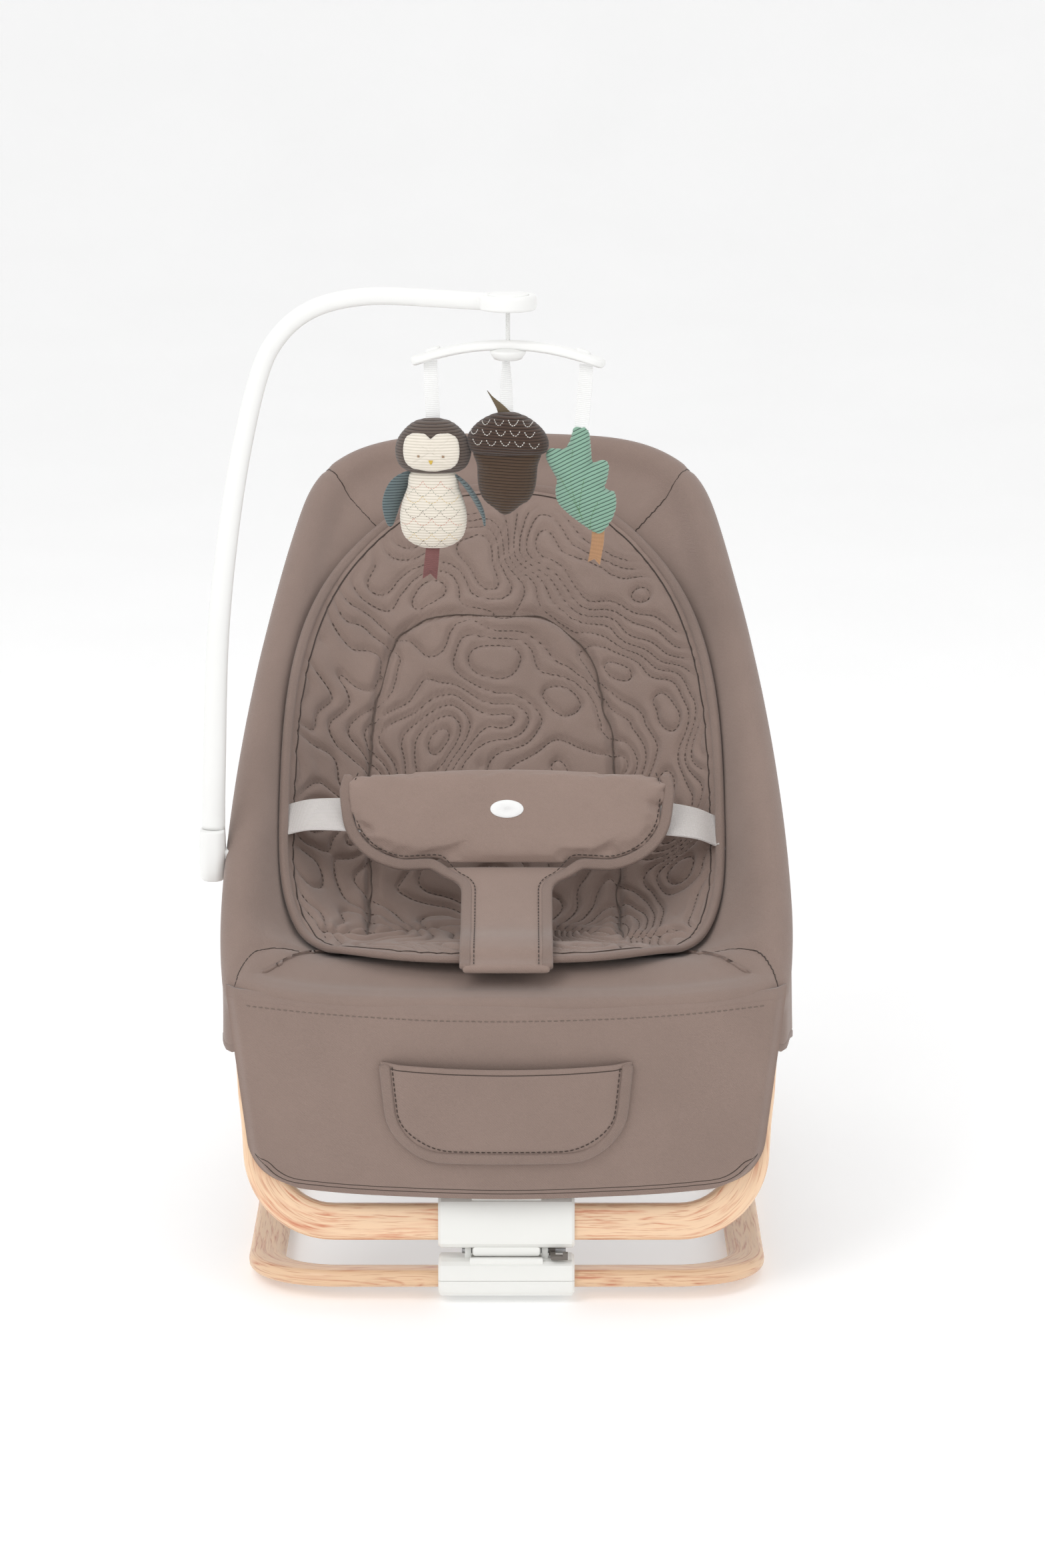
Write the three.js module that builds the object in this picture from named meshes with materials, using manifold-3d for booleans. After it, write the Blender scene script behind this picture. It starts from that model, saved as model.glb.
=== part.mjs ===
// Baby bouncer seat: a padded bucket seat on two wooden loops, joined at the
// front by a sprung hinge hub, with a toy arm and a small hanging mobile.
// Millimetres, +Z up, -Y is the front, "left" is -X, the side of the toy arm.
// Every dimension below counts from the floor under the middle of the front bar;
// the finished group is moved at the end.

import * as THREE from 'three';
import { mergeVertices } from 'three/addons/utils/BufferGeometryUtils.js';
import Module from 'manifold-3d';

const wasm = await Module();
wasm.setup();

// ---------------------------------------------------------------- dimensions

const GAP = 0.3;                                // between pieces that touch

const WOOD = { width: 30, thick: 14, round: 6 };  // section of both wooden loops

const LOWER = {
  halfWidth: 197, frontY: 0, backY: 575, corner: 62,
  flatZ: 10.5, flatStart: 112, flatEnd: 440, curveR: 900,
};
const PAD = { length: 66, width: 24, height: 3.2 };

const UPPER = {
  halfWidth: 197.5, flareX: 203, lean: 78, barZ: 64, corner: 58,
  bendStart: 128, bendR: 86, endSlope: 27, railEndGap: 31,
};

const PIN = { y: 0, z: 40, radius: 3, half: 52 };
const SLEEVE = { half: 55, upperHeight: 42, upperDepth: 24, lowerHeight: 30, lowerDepth: 42,
  lowerRaise: 1.5, upperCut: 43.5 };
const EAR = { inner: 28.5, outer: 33.5, radius: 6.5 };
const KNUCKLE = { inner: 20.5, outer: 27.8, radius: 5.6 };
const BARREL = { half: 10, radius: 5.4 };
const LATCH = { end: 49.5, reach: 19, low: 37.4, high: 43 };
const SPRING = { inner: 3.4, outer: 5.2, start: 11, end: 19.6, turns: 3 };

const PIVOT = { y: 225, z: 295, radius: 27, inner: 189, split: 202.8, outer: 213 };
const BOLT = { radius: 5, headRadius: 9, headDepth: 3.6 };

const SEAT = { slope: 32.5, z0: 250, centreP: 250 };   // the plane that the rim lies in
const RIM = {
  front: -20, top: 690, widest: 234, widestP: 115, narrowing: 41, narrowSpan: 432,
  topCorner: 560, frontCorner: 34, roll: 15.5, tube: 8, rise: 12, riseSpan: 80,
};
const BOWL = { edge: -12, buttP: 189, buttN: -113, baseSlope: -0.69, backSlope: 0.238,
  soften: 12, steep: 4.5, thick: 12, underInsert: 16 };
const INSERT = { halfWidth: 184, centreX: -4, centreP: 250, lower: 202, upper: 368,
  lowerPower: 3.3, upperPower: 2.5, thick: 9, lift: 5.8 };

const APRON = { topZ: 222, bottomZ: 86, frontY: -27, bow: 20, bowSpan: 215, topHalf: 223,
  bottomHalf: 204, thick: 5, cornerR: 46, sag: 8 };
const POCKET = { topZ: 205, bottomZ: 122, half: 102, cornerR: 40, taper: 8, depth: 13, wall: 2.6 };
const SKIRT = { thick: 3.6, startP: 14, endP: 560, frontDepth: 34, sideDepth: 92, deepP: 124,
  taperP: 330, endShare: 0.25 };

const FLAP = { half: 140, thick: 11, low: [164, 317], high: [214, 394], bottomCorner: 42,
  topCorner: 12, droop: 8 };
const CROTCH = { half: 36.5, thick: 8, start: [32, 266], end: [159, 311.5], curve: 1.15 };
const WEBBING = { width: 38, thick: 2.4 };

const ARM = { x: -242, y: 152, wide: 19, deep: 15, tallEnd: 14.5, deepEnd: 12, topY: 211,
  pegRadius: 6, pegLow: 318, low: 352.5, intoDisc: 6 };
const SOCKET = { wide: 20, deep: 27, low: 311, high: 352 };
const DISC = { x: 1, y: 211, radius: 23.6, low: 774.5, high: 787, capRadius: 16.8 };
const CORD = { radius: 1.9, top: 781.5, bottom: 744.8 };
const BAR = { half: 80, top: 749.5, drop: 15, height: 8, depth: 14, endDepth: 22, turn: -6,
  dishRadius: 14.8, dishFoot: 10.5, dishHeight: 8, clip: 62, nubRise: 3 };
const RIBBON = { width: 12.5, thick: 1.6, gap: 0.7 };
const HANDLE = { half: 40, tongue: 29.5, lowP: 616, faceP: 632, endP: 655, bracketP: 641,
  backP: 676 };

// ------------------------------------------------------------------ materials

const colour = (r, g, b) => new THREE.Color().setRGB(r, g, b, THREE.SRGBColorSpace);
const finish = (r, g, b, roughness, metalness = 0) =>
  new THREE.MeshStandardMaterial({ color: colour(r, g, b), roughness, metalness });

const wood = finish(0.87, 0.74, 0.58, 0.5);
const whitePlastic = finish(0.93, 0.93, 0.92, 0.35);
const greyPlastic = finish(0.55, 0.55, 0.56, 0.5);
const steel = finish(0.62, 0.62, 0.64, 0.35, 1);
const rubber = finish(0.32, 0.31, 0.3, 0.85);
const taupeFabric = finish(0.58, 0.51, 0.47, 0.9);
const quiltFabric = finish(0.6, 0.53, 0.49, 0.9);
const webbingFabric = finish(0.86, 0.83, 0.81, 0.85);
const creamFabric = finish(0.89, 0.84, 0.78, 0.9);
const brownFabric = finish(0.32, 0.26, 0.22, 0.95);
const greyBrownFabric = finish(0.44, 0.39, 0.36, 0.95);
const greenFabric = finish(0.56, 0.68, 0.61, 0.9);
const blueFabric = finish(0.55, 0.59, 0.65, 0.9);
const whiteRibbon = finish(0.93, 0.94, 0.95, 0.8);
const maroonFabric = finish(0.53, 0.4, 0.38, 0.9);
const tanFabric = finish(0.67, 0.5, 0.37, 0.9);
const cordFabric = finish(0.9, 0.9, 0.88, 0.8);

// -------------------------------------------------------------- small helpers

const rad = THREE.MathUtils.degToRad;
const vec = (x, y, z) => new THREE.Vector3(x, y, z);
const lerp = THREE.MathUtils.lerp;
const clamp01 = (t) => Math.min(1, Math.max(0, t));
const smooth = (t) => clamp01(t) ** 2 * (3 - 2 * clamp01(t));
const range = (n) => Array.from({ length: n }, (_, i) => i);

function signedVolume(points, faces) {
  let sum = 0;
  for (const [a, b, c] of faces) {
    sum += points[a].dot(points[b].clone().cross(points[c]));
  }
  return sum / 6;
}

// A geometry from points and triangles, turned inside out if it faces inwards.
function geometryOf(points, faces) {
  const outward = signedVolume(points, faces) > 0;
  const index = faces.flatMap(([a, b, c]) => (outward ? [a, b, c] : [a, c, b]));
  const geometry = new THREE.BufferGeometry();
  geometry.setAttribute('position',
    new THREE.Float32BufferAttribute(points.flatMap((p) => [p.x, p.y, p.z]), 3));
  geometry.setIndex(index);
  return geometry;
}

// Skin over a row of rings with equal point counts, closed on itself or capped.
function loft(rings, closed = false) {
  const count = rings[0].length;
  const points = rings.flat();
  const faces = [];
  const spans = closed ? rings.length : rings.length - 1;
  for (let i = 0; i < spans; i += 1) {
    const low = i * count;
    const high = ((i + 1) % rings.length) * count;
    for (let j = 0; j < count; j += 1) {
      const k = (j + 1) % count;
      faces.push([low + j, low + k, high + k], [low + j, high + k, high + j]);
    }
  }
  if (!closed) {
    const last = (rings.length - 1) * count;
    const middle = (ring) => ring.reduce((s, p) => s.add(p), vec(0, 0, 0))
      .divideScalar(count);
    const first = points.push(middle(rings[0])) - 1;
    const final = points.push(middle(rings[rings.length - 1])) - 1;
    for (let j = 0; j < count; j += 1) {
      const k = (j + 1) % count;
      faces.push([first, k, j], [final, last + j, last + k]);
    }
  }
  return geometryOf(points, faces);
}

// A sheet with thickness: face(u, v, side) gives its points, side 0 or 1.
function sheet(nu, nv, face) {
  const points = [];
  const at = (i, j, side) => (side * (nu + 1) + i) * (nv + 1) + j;
  for (const side of [0, 1]) {
    for (let i = 0; i <= nu; i += 1) {
      for (let j = 0; j <= nv; j += 1) points.push(face(i / nu, j / nv, side));
    }
  }
  const faces = [];
  const quad = (a, b, c, d) => faces.push([a, b, c], [a, c, d]);
  for (let i = 0; i < nu; i += 1) {
    for (let j = 0; j < nv; j += 1) {
      quad(at(i, j, 0), at(i + 1, j, 0), at(i + 1, j + 1, 0), at(i, j + 1, 0));
      quad(at(i, j, 1), at(i, j + 1, 1), at(i + 1, j + 1, 1), at(i + 1, j, 1));
    }
  }
  for (let i = 0; i < nu; i += 1) {
    quad(at(i, 0, 0), at(i, 0, 1), at(i + 1, 0, 1), at(i + 1, 0, 0));
    quad(at(i, nv, 0), at(i + 1, nv, 0), at(i + 1, nv, 1), at(i, nv, 1));
  }
  for (let j = 0; j < nv; j += 1) {
    quad(at(0, j, 0), at(0, j + 1, 0), at(0, j + 1, 1), at(0, j, 1));
    quad(at(nu, j, 0), at(nu, j, 1), at(nu, j + 1, 1), at(nu, j + 1, 0));
  }
  return geometryOf(points, faces);
}

// A round pad: outline points around a centre, rings towards it, two faces.
function roundPad(outline, ringCount, place) {
  const count = outline.length;
  const points = [];
  for (const side of [0, 1]) {
    points.push(place(0, 0, side));
    for (let i = 1; i <= ringCount; i += 1) {
      for (let j = 0; j < count; j += 1) points.push(place(i / ringCount, j, side));
    }
  }
  const half = 1 + ringCount * count;
  const at = (i, j, side) => side * half + 1 + (i - 1) * count + (j % count);
  const faces = [];
  for (let j = 0; j < count; j += 1) {
    faces.push([0, at(1, j, 0), at(1, j + 1, 0)], [half, at(1, j + 1, 1), at(1, j, 1)]);
    for (let i = 1; i < ringCount; i += 1) {
      faces.push([at(i, j, 0), at(i + 1, j, 0), at(i + 1, j + 1, 0)],
        [at(i, j, 0), at(i + 1, j + 1, 0), at(i, j + 1, 0)],
        [at(i, j, 1), at(i + 1, j + 1, 1), at(i + 1, j, 1)],
        [at(i, j, 1), at(i, j + 1, 1), at(i + 1, j + 1, 1)]);
    }
    const n = ringCount;
    faces.push([at(n, j, 0), at(n, j, 1), at(n, j + 1, 1)],
      [at(n, j, 0), at(n, j + 1, 1), at(n, j + 1, 0)]);
  }
  return geometryOf(points, faces);
}

// Rounded rectangle as 2-D points, anticlockwise.
function roundedRect(width, height, radius, steps = 2) {
  const corners = [[1, 1, 0], [-1, 1, 90], [-1, -1, 180], [1, -1, 270]];
  return corners.flatMap(([sx, sy, start]) => range(steps + 1).map((i) => {
    const a = rad(start + (90 * i) / steps);
    return [sx * (width / 2 - radius) + radius * Math.cos(a),
      sy * (height / 2 - radius) + radius * Math.sin(a)];
  }));
}

const circlePoints = (radius, count, start = 0) => range(count).map((i) => {
  const a = start + (2 * Math.PI * i) / count;
  return [radius * Math.cos(a), radius * Math.sin(a)];
});

// Places a 2-D section at a point, with its own x and y directions.
const ringAt = (section, centre, xDir, yDir) => section.map(([x, y]) =>
  centre.clone().addScaledVector(xDir, x).addScaledVector(yDir, y));

function toManifold(geometry) {
  const bare = geometry.clone();
  bare.deleteAttribute('normal');
  bare.deleteAttribute('uv');
  const merged = mergeVertices(bare, 1e-4);
  return new wasm.Manifold(new wasm.Mesh({
    numProp: 3,
    vertProperties: new Float32Array(merged.attributes.position.array),
    triVerts: new Uint32Array(merged.index.array),
  }));
}

function fromManifold(solid) {
  const mesh = solid.getMesh();
  const geometry = new THREE.BufferGeometry();
  geometry.setAttribute('position', new THREE.BufferAttribute(mesh.vertProperties, 3));
  geometry.setIndex(new THREE.BufferAttribute(mesh.triVerts, 1));
  return geometry;
}

// Joins the first list of geometries, then cuts away the second list.
function carve(joined, removed = []) {
  const body = joined.map(toManifold).reduce((a, b) => a.add(b));
  return fromManifold(removed.map(toManifold).reduce((a, b) => a.subtract(b), body));
}

const move = (geometry, x, y, z) => geometry.translate(x, y, z);

// A round bar along X from x0 to x1.
const barX = (radius, x0, x1, y, z, sides = 20) =>
  move(new THREE.CylinderGeometry(radius, radius, Math.abs(x1 - x0), sides).rotateZ(Math.PI / 2),
    (x0 + x1) / 2, y, z);

const box = (x0, x1, y0, y1, z0, z1) =>
  move(new THREE.BoxGeometry(x1 - x0, y1 - y0, z1 - z0),
    (x0 + x1) / 2, (y0 + y1) / 2, (z0 + z1) / 2);

// A block with rounded long edges along X, in a tilted frame about a centre.
function softBlock(half, height, depth, round, centre, upDir, outDir) {
  const section = roundedRect(depth, height, round, 3);
  const end = 2.2;
  const rings = [[-half, 1 - end / depth * 1.6], [-half + end, 1], [half - end, 1],
    [half, 1 - end / depth * 1.6]];
  return loft(rings.map(([x, s]) =>
    ringAt(section.map(([a, b]) => [a * s, b * lerp(1, s, depth / height)]),
      centre.clone().setX(x), outDir, upDir)));
}

const model = new THREE.Group();

function add(name, geometry, material) {
  const mesh = new THREE.Mesh(geometry, material);
  mesh.name = name;
  model.add(mesh);
  return mesh;
}

const SIDES = [['left', -1], ['right', 1]];

// ----------------------------------------------------------------- lower loop

// Height of the lower loop's middle: flat in the middle, curved up at both ends.
function lowerHeight(y) {
  const over = Math.max(LOWER.flatStart - y, y - LOWER.flatEnd, 0);
  return LOWER.flatZ + LOWER.curveR - Math.sqrt(LOWER.curveR ** 2 - over ** 2);
}

// Rounded rectangle in plan, started at the middle of the front bar.
function loopPath(half, y0, y1, corner, cornerSteps, sideSteps) {
  const path = [];
  const line = (ax, ay, bx, by, n) => range(n).forEach((i) =>
    path.push([lerp(ax, bx, i / n), lerp(ay, by, i / n)]));
  const arc = (cx, cy, start) => range(cornerSteps).forEach((i) => {
    const a = rad(start + (90 * i) / cornerSteps);
    path.push([cx + corner * Math.cos(a), cy + corner * Math.sin(a)]);
  });
  line(-half + corner, y0, half - corner, y0, 4);
  arc(half - corner, y0 + corner, -90);
  line(half, y0 + corner, half, y1 - corner, sideSteps);
  arc(half - corner, y1 - corner, 0);
  line(half - corner, y1, -half + corner, y1, 4);
  arc(-half + corner, y1 - corner, 90);
  line(-half, y1 - corner, -half, y0 + corner, sideSteps);
  arc(-half + corner, y0 + corner, 180);
  return path;
}

function sweepLoop(points, section, upAt) {
  const n = points.length;
  return loft(points.map((p, i) => {
    const along = points[(i + 1) % n].clone().sub(points[(i + n - 1) % n]).normalize();
    const up = upAt(p, along);
    const out = along.clone().cross(up).normalize();
    return ringAt(section, p, out, up);
  }), true);
}

function lowerLoop(grow = 0) {
  const section = roundedRect(WOOD.width + grow, WOOD.thick + grow, WOOD.round, 2);
  const path = loopPath(LOWER.halfWidth, LOWER.frontY, LOWER.backY, LOWER.corner, 5, 7)
    .map(([x, y]) => vec(x, y, lowerHeight(y)));
  return sweepLoop(path, section, (p) => {
    const over = p.y < LOWER.flatStart ? p.y - LOWER.flatStart : Math.max(p.y - LOWER.flatEnd, 0);
    return vec(0, -over / LOWER.curveR, 1).normalize();
  });
}

add('lower_loop', lowerLoop(), wood);

for (const [side, s] of SIDES) {
  for (const [end, y] of [['front', 158], ['rear', 394]]) {
    const section = roundedRect(PAD.width, PAD.length, 8, 3);
    const rings = [[0, 0.86], [1, 1], [PAD.height, 1]].map(([z, k]) =>
      ringAt(section.map(([a, b]) => [a * k, b * k]), vec(s * LOWER.halfWidth, y, z),
        vec(1, 0, 0), vec(0, 1, 0)));
    add(`foot_pad_${end}_${side}`, loft(rings), rubber);
  }
}

// ------------------------------------------------------------------ hinge hub

const lowerTilt = Math.asin((LOWER.flatStart - LOWER.frontY) / LOWER.curveR);
const lowerUp = vec(0, Math.sin(lowerTilt), Math.cos(lowerTilt));
const lowerOut = vec(0, Math.cos(lowerTilt), -Math.sin(lowerTilt));
const lowerBarZ = lowerHeight(LOWER.frontY);
const lowerCentre = vec(0, 0, lowerBarZ).addScaledVector(lowerUp, SLEEVE.lowerRaise);

const upperUp = vec(0, Math.cos(rad(UPPER.lean)), Math.sin(rad(UPPER.lean)));
const upperOut = vec(0, -Math.sin(rad(UPPER.lean)), Math.cos(rad(UPPER.lean)));
const upperCentre = vec(0, 0, UPPER.barZ);

// A big block on one side of a plane, used to split a sleeve and leave half the gap.
function halfSpace(centre, normal) {
  const block = new THREE.BoxGeometry(200, 200, 100).translate(0, 0, 50 - GAP / 2);
  block.applyQuaternion(new THREE.Quaternion().setFromUnitVectors(vec(0, 0, 1), normal));
  return block.translate(centre.x, centre.y, centre.z);
}

function hingeRoom(radius, half) {
  return barX(radius, -half, half, PIN.y, PIN.z, 24);
}

function lowerSleeveTop() {
  const shell = softBlock(SLEEVE.half, SLEEVE.lowerHeight, SLEEVE.lowerDepth, 8,
    lowerCentre, lowerUp, lowerOut);
  const ears = SIDES.flatMap(([, s]) => {
    const x0 = Math.min(s * EAR.inner, s * EAR.outer);
    const x1 = Math.max(s * EAR.inner, s * EAR.outer);
    return [barX(EAR.radius, x0, x1, PIN.y, PIN.z, 20), box(x0, x1, -6.5, 6.5, 28, PIN.z)];
  });
  const room = [hingeRoom(EAR.radius + 1, EAR.inner), box(-EAR.inner, EAR.inner, -7.5, 24, 33.5, 60)];
  const body = carve([shell], room);
  const below = halfSpace(vec(0, 0, lowerBarZ), lowerUp.clone().negate());
  return carve([body, ...ears],
    [lowerLoop(2 * GAP), below, hingeRoom(PIN.radius + 0.15, 60)]);
}

function lowerSleeveBottom() {
  const shell = softBlock(SLEEVE.half, SLEEVE.lowerHeight, SLEEVE.lowerDepth, 8,
    lowerCentre, lowerUp, lowerOut);
  return carve([shell], [halfSpace(vec(0, 0, lowerBarZ), lowerUp), lowerLoop(2 * GAP)]);
}

add('lower_sleeve_top', lowerSleeveTop(), whitePlastic);
add('lower_sleeve_bottom', lowerSleeveBottom(), whitePlastic);

add('hinge_barrel', carve([barX(BARREL.radius, -BARREL.half, BARREL.half, PIN.y, PIN.z, 24)],
  [hingeRoom(PIN.radius + 0.15, 60)]), whitePlastic);
add('hinge_pin', barX(PIN.radius, -PIN.half + 16, PIN.half - 4, PIN.y, PIN.z, 20), steel);

for (const [side, s] of SIDES) {
  const pitch = (SPRING.end - SPRING.start) / SPRING.turns;
  const profile = [[SPRING.inner, 0]];
  range(SPRING.turns).forEach((i) => {
    profile.push([SPRING.outer - 0.7, (i + 0.08) * pitch], [SPRING.outer, (i + 0.5) * pitch],
      [SPRING.outer - 0.7, (i + 0.92) * pitch]);
  });
  profile.push([SPRING.inner, SPRING.end - SPRING.start], [SPRING.inner, 0]);
  const coil = new THREE.LatheGeometry(profile.map(([r, h]) => new THREE.Vector2(r, h)), 14);
  coil.rotateZ(-s * Math.PI / 2);
  add(`bounce_spring_${side}`, move(coil, s * SPRING.start, PIN.y, PIN.z), steel);
}

// ----------------------------------------------------------------- upper loop

// One rail from the front bar's corner up to the recline hub, as x, y, z points.
function railPath(s) {
  const along = (t) => vec(0, 0, 0).addScaledVector(upperUp, t);
  const points = [];
  const c = UPPER.corner;
  range(7).forEach((i) => {
    const a = rad(-90 + 15 * i);
    const x = UPPER.halfWidth - c + c * Math.cos(a);
    points.push(along(c + c * Math.sin(a)).setX(s * x));
  });
  const straight = 3;
  range(straight).forEach((i) => {
    const t = lerp(c, UPPER.bendStart, (i + 1) / straight);
    const flare = lerp(UPPER.halfWidth, UPPER.flareX, smooth((i + 1) / straight));
    points.push(along(t).setX(s * flare));
  });
  const start = along(UPPER.bendStart);
  const turn = UPPER.lean - UPPER.endSlope;
  const steps = 6;
  let last = start.clone();
  range(steps).forEach((i) => {
    const a = rad(UPPER.lean - (turn * (i + 1)) / steps);
    const y = start.y + UPPER.bendR * (Math.sin(rad(UPPER.lean)) - Math.sin(a));
    const z = start.z + UPPER.bendR * (Math.cos(a) - Math.cos(rad(UPPER.lean)));
    last = vec(s * UPPER.flareX, y, z);
    points.push(last);
  });
  const hub = vec(s * UPPER.flareX, PIVOT.y, PIVOT.z - UPPER.barZ);
  const toHub = hub.clone().sub(last);
  const end = last.clone().addScaledVector(toHub, 1 - UPPER.railEndGap / toHub.length());
  points.push(last.clone().lerp(end, 0.5), end);
  return points.map((p) => p.add(upperCentre));
}

function upperLoop(grow = 0) {
  const left = railPath(-1).reverse();
  const right = railPath(1);
  const path = [...left, ...right];
  const section = roundedRect(WOOD.width + grow, WOOD.thick + grow, WOOD.round, 2);
  const n = path.length;
  let side = vec(0, 0, 1);
  return loft(path.map((p, i) => {
    const along = path[Math.min(i + 1, n - 1)].clone().sub(path[Math.max(i - 1, 0)]).normalize();
    // the broad side stays in the loop's own curved surface, across the rail
    const climb = vec(0, along.y, along.z);
    const blend = climb.length() > 1e-6 ? Math.abs(along.x) : 1;
    const normal = climb.length() > 1e-6
      ? vec(0, -climb.z, climb.y).normalize().multiplyScalar(Math.sign(climb.z) || 1)
      : upperOut.clone();
    const face = normal.lerp(upperOut, blend).normalize();
    side = face.clone().cross(along).normalize();
    const out = along.clone().cross(side).normalize();
    return ringAt(section, p, side, out);
  }));
}

add('upper_loop', upperLoop(), wood);

const upperShell = () => softBlock(SLEEVE.half, SLEEVE.upperHeight, SLEEVE.upperDepth, 8,
  upperCentre, upperUp, upperOut);

add('upper_sleeve_front', carve([upperShell()], [
  halfSpace(upperCentre, upperOut.clone().negate()), upperLoop(2 * GAP),
  hingeRoom(KNUCKLE.radius + 1.2, 60), box(-60, 60, -40, 40, 20, SLEEVE.upperCut)]), whitePlastic);

function upperSleeveRear() {
  const knuckles = SIDES.flatMap(([, s]) => {
    const x0 = Math.min(s * KNUCKLE.inner, s * KNUCKLE.outer);
    const x1 = Math.max(s * KNUCKLE.inner, s * KNUCKLE.outer);
    return [barX(KNUCKLE.radius, x0, x1, PIN.y, PIN.z, 20),
      box(x0, x1, 0.6, KNUCKLE.radius, PIN.z, 50)];
  });
  const body = carve([upperShell()], [halfSpace(upperCentre, upperOut), upperLoop(2 * GAP),
    hingeRoom(KNUCKLE.radius + 1.2, 60), box(-60, 60, -40, 40, 20, SLEEVE.upperCut)]);
  return carve([body, ...knuckles], [hingeRoom(PIN.radius + 0.15, 60), upperLoop(2 * GAP)]);
}

add('upper_sleeve_rear', upperSleeveRear(), whitePlastic);

// Screws whose heads sit on the rear shell of the upper sleeve.
for (const [side, s] of SIDES) {
  const out = upperOut.clone().negate();
  const seat = upperCentre.clone().setX(s * 40).addScaledVector(out, SLEEVE.upperDepth / 2 + GAP);
  const rings = [[0, 4], [1.2, 4], [2, 2.6]].map(([h, r]) =>
    ringAt(circlePoints(r, 14), seat.clone().addScaledVector(out, h), vec(1, 0, 0), upperUp));
  add(`upper_sleeve_screw_${side}`, loft(rings), steel);
}

// A small L-shaped latch on the end of the hinge pin slides out to free the fold.
function foldLatch() {
  const collar = barX(5, 34.4, 39.6, PIN.y, PIN.z, 16);
  const root = box(35.4, 39.6, -16, 0, 37.8, 40.6);
  const tab = box(36, LATCH.end, -LATCH.reach, -14, LATCH.low, 40.6);
  const thumb = box(LATCH.end - 4, LATCH.end, -LATCH.reach, -14, LATCH.low, LATCH.high);
  return carve([collar, root, tab, thumb], [hingeRoom(PIN.radius + 0.15, 60)]);
}

add('fold_latch', foldLatch(), greyPlastic);

// ---------------------------------------------------------------- recline hubs

const hubSlope = rad(UPPER.endSlope);
const hubBack = vec(0, -Math.cos(hubSlope), -Math.sin(hubSlope));
const hubUp = vec(0, -Math.sin(hubSlope), Math.cos(hubSlope));

for (const [side, s] of SIDES) {
  const rounded = (x0, x1, radius) => barX(radius, s * x0, s * x1, PIVOT.y, PIVOT.z, 28);
  const centre = vec(s * (UPPER.flareX - 1), PIVOT.y, PIVOT.z);
  const socket = loft([8, 52].map((t) => ringAt(roundedRect(WOOD.width + 5, WOOD.thick + 7, 7, 2),
    centre.clone().addScaledVector(hubBack, t), vec(1, 0, 0), hubUp)));
  const clear = rounded(PIVOT.split - 0.01, 240, PIVOT.radius + 1.5);
  const railHub = carve([carve([socket], [clear]), rounded(PIVOT.inner, PIVOT.split - GAP, PIVOT.radius)],
    [upperLoop(2 * GAP), barX(BOLT.radius + 0.15, s * 180, s * 240, PIVOT.y, PIVOT.z, 20)]);
  add(`rail_hub_${side}`, railHub, whitePlastic);
}

// ------------------------------------------------------------- seat rim plane

const slope = rad(SEAT.slope);
const seatPoint = (x, p, n) => vec(x, p * Math.cos(slope) - n * Math.sin(slope),
  SEAT.z0 + p * Math.sin(slope) + n * Math.cos(slope));

const superellipse = (t, power) => (1 - clamp01(t) ** power) ** (1 / power);

// Half-width of the seat's silhouette at the distance p up the rim plane.
function rimHalfWidth(p) {
  const before = (RIM.widestP - p) / RIM.widestP;
  const after = (p - RIM.widestP) / RIM.narrowSpan;
  const width = p < RIM.widestP
    ? RIM.widest - 9 * before ** 2
    : RIM.widest - RIM.narrowing * after ** 1.8;
  const top = superellipse((p - RIM.topCorner) / (RIM.top - RIM.topCorner), 3.5);
  const front = superellipse((RIM.frontCorner - p) / (RIM.frontCorner - RIM.front), 3.2);
  return width * top * front;
}

const rimRise = (p) => RIM.rise * Math.max(0, (RIM.front + RIM.riseSpan - p) / RIM.riseSpan) ** 2;

function insertHalfWidth(p) {
  const above = superellipse((p - INSERT.centreP) / INSERT.upper, INSERT.upperPower);
  const below = superellipse((INSERT.centreP - p) / INSERT.lower, INSERT.lowerPower);
  return INSERT.halfWidth * above * below;
}

// Distance from the centre to an outline in the direction of an angle.
function reach(halfWidth, centreP, low, high, angle) {
  const dx = Math.cos(angle);
  const dp = Math.sin(angle);
  let inside = 0;
  let outside = 800;
  for (let i = 0; i < 40; i += 1) {
    const t = (inside + outside) / 2;
    const p = centreP + t * dp;
    const fits = p > low && p < high && Math.abs(t * dx) < halfWidth(p);
    if (fits) inside = t;
    else outside = t;
  }
  return inside;
}

// Evenly spaced points around an outline, moved inwards by an inset.
function outlinePoints(halfWidth, centreP, low, high, inset, count) {
  const fine = range(720).map((i) => {
    const a = (2 * Math.PI * i) / 720 - Math.PI / 2;
    const t = reach(halfWidth, centreP, low, high, a);
    return new THREE.Vector2(t * Math.cos(a), centreP + t * Math.sin(a));
  });
  const moved = fine.map((p, i) => {
    const next = fine[(i + 3) % 720];
    const before = fine[(i + 717) % 720];
    const along = next.clone().sub(before).normalize();
    return new THREE.Vector2(p.x - along.y * inset, p.y + along.x * inset);
  });
  const loop = [...moved, moved[0]];
  const lengths = [0];
  for (let i = 1; i < loop.length; i += 1) lengths.push(lengths[i - 1] + loop[i].distanceTo(loop[i - 1]));
  const total = lengths[lengths.length - 1];
  return range(count).map((i) => {
    const want = (total * i) / count;
    const k = Math.max(1, lengths.findIndex((l) => l >= want));
    const t = (want - lengths[k - 1]) / (lengths[k] - lengths[k - 1]);
    return loop[k - 1].clone().lerp(loop[k], t);
  });
}

const rimPoints = (inset, count) =>
  outlinePoints(rimHalfWidth, SEAT.centreP, RIM.front, RIM.top, inset, count);

// Depth of the bowl along its middle: seat base and backrest meeting at the butt.
function middleDepth(p) {
  const base = BOWL.buttN + BOWL.baseSlope * (p - BOWL.buttP);
  const back = BOWL.buttN + BOWL.backSlope * (p - BOWL.buttP);
  return (base + back) / 2 + Math.hypot((base - back) / 2, BOWL.soften);
}

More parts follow.
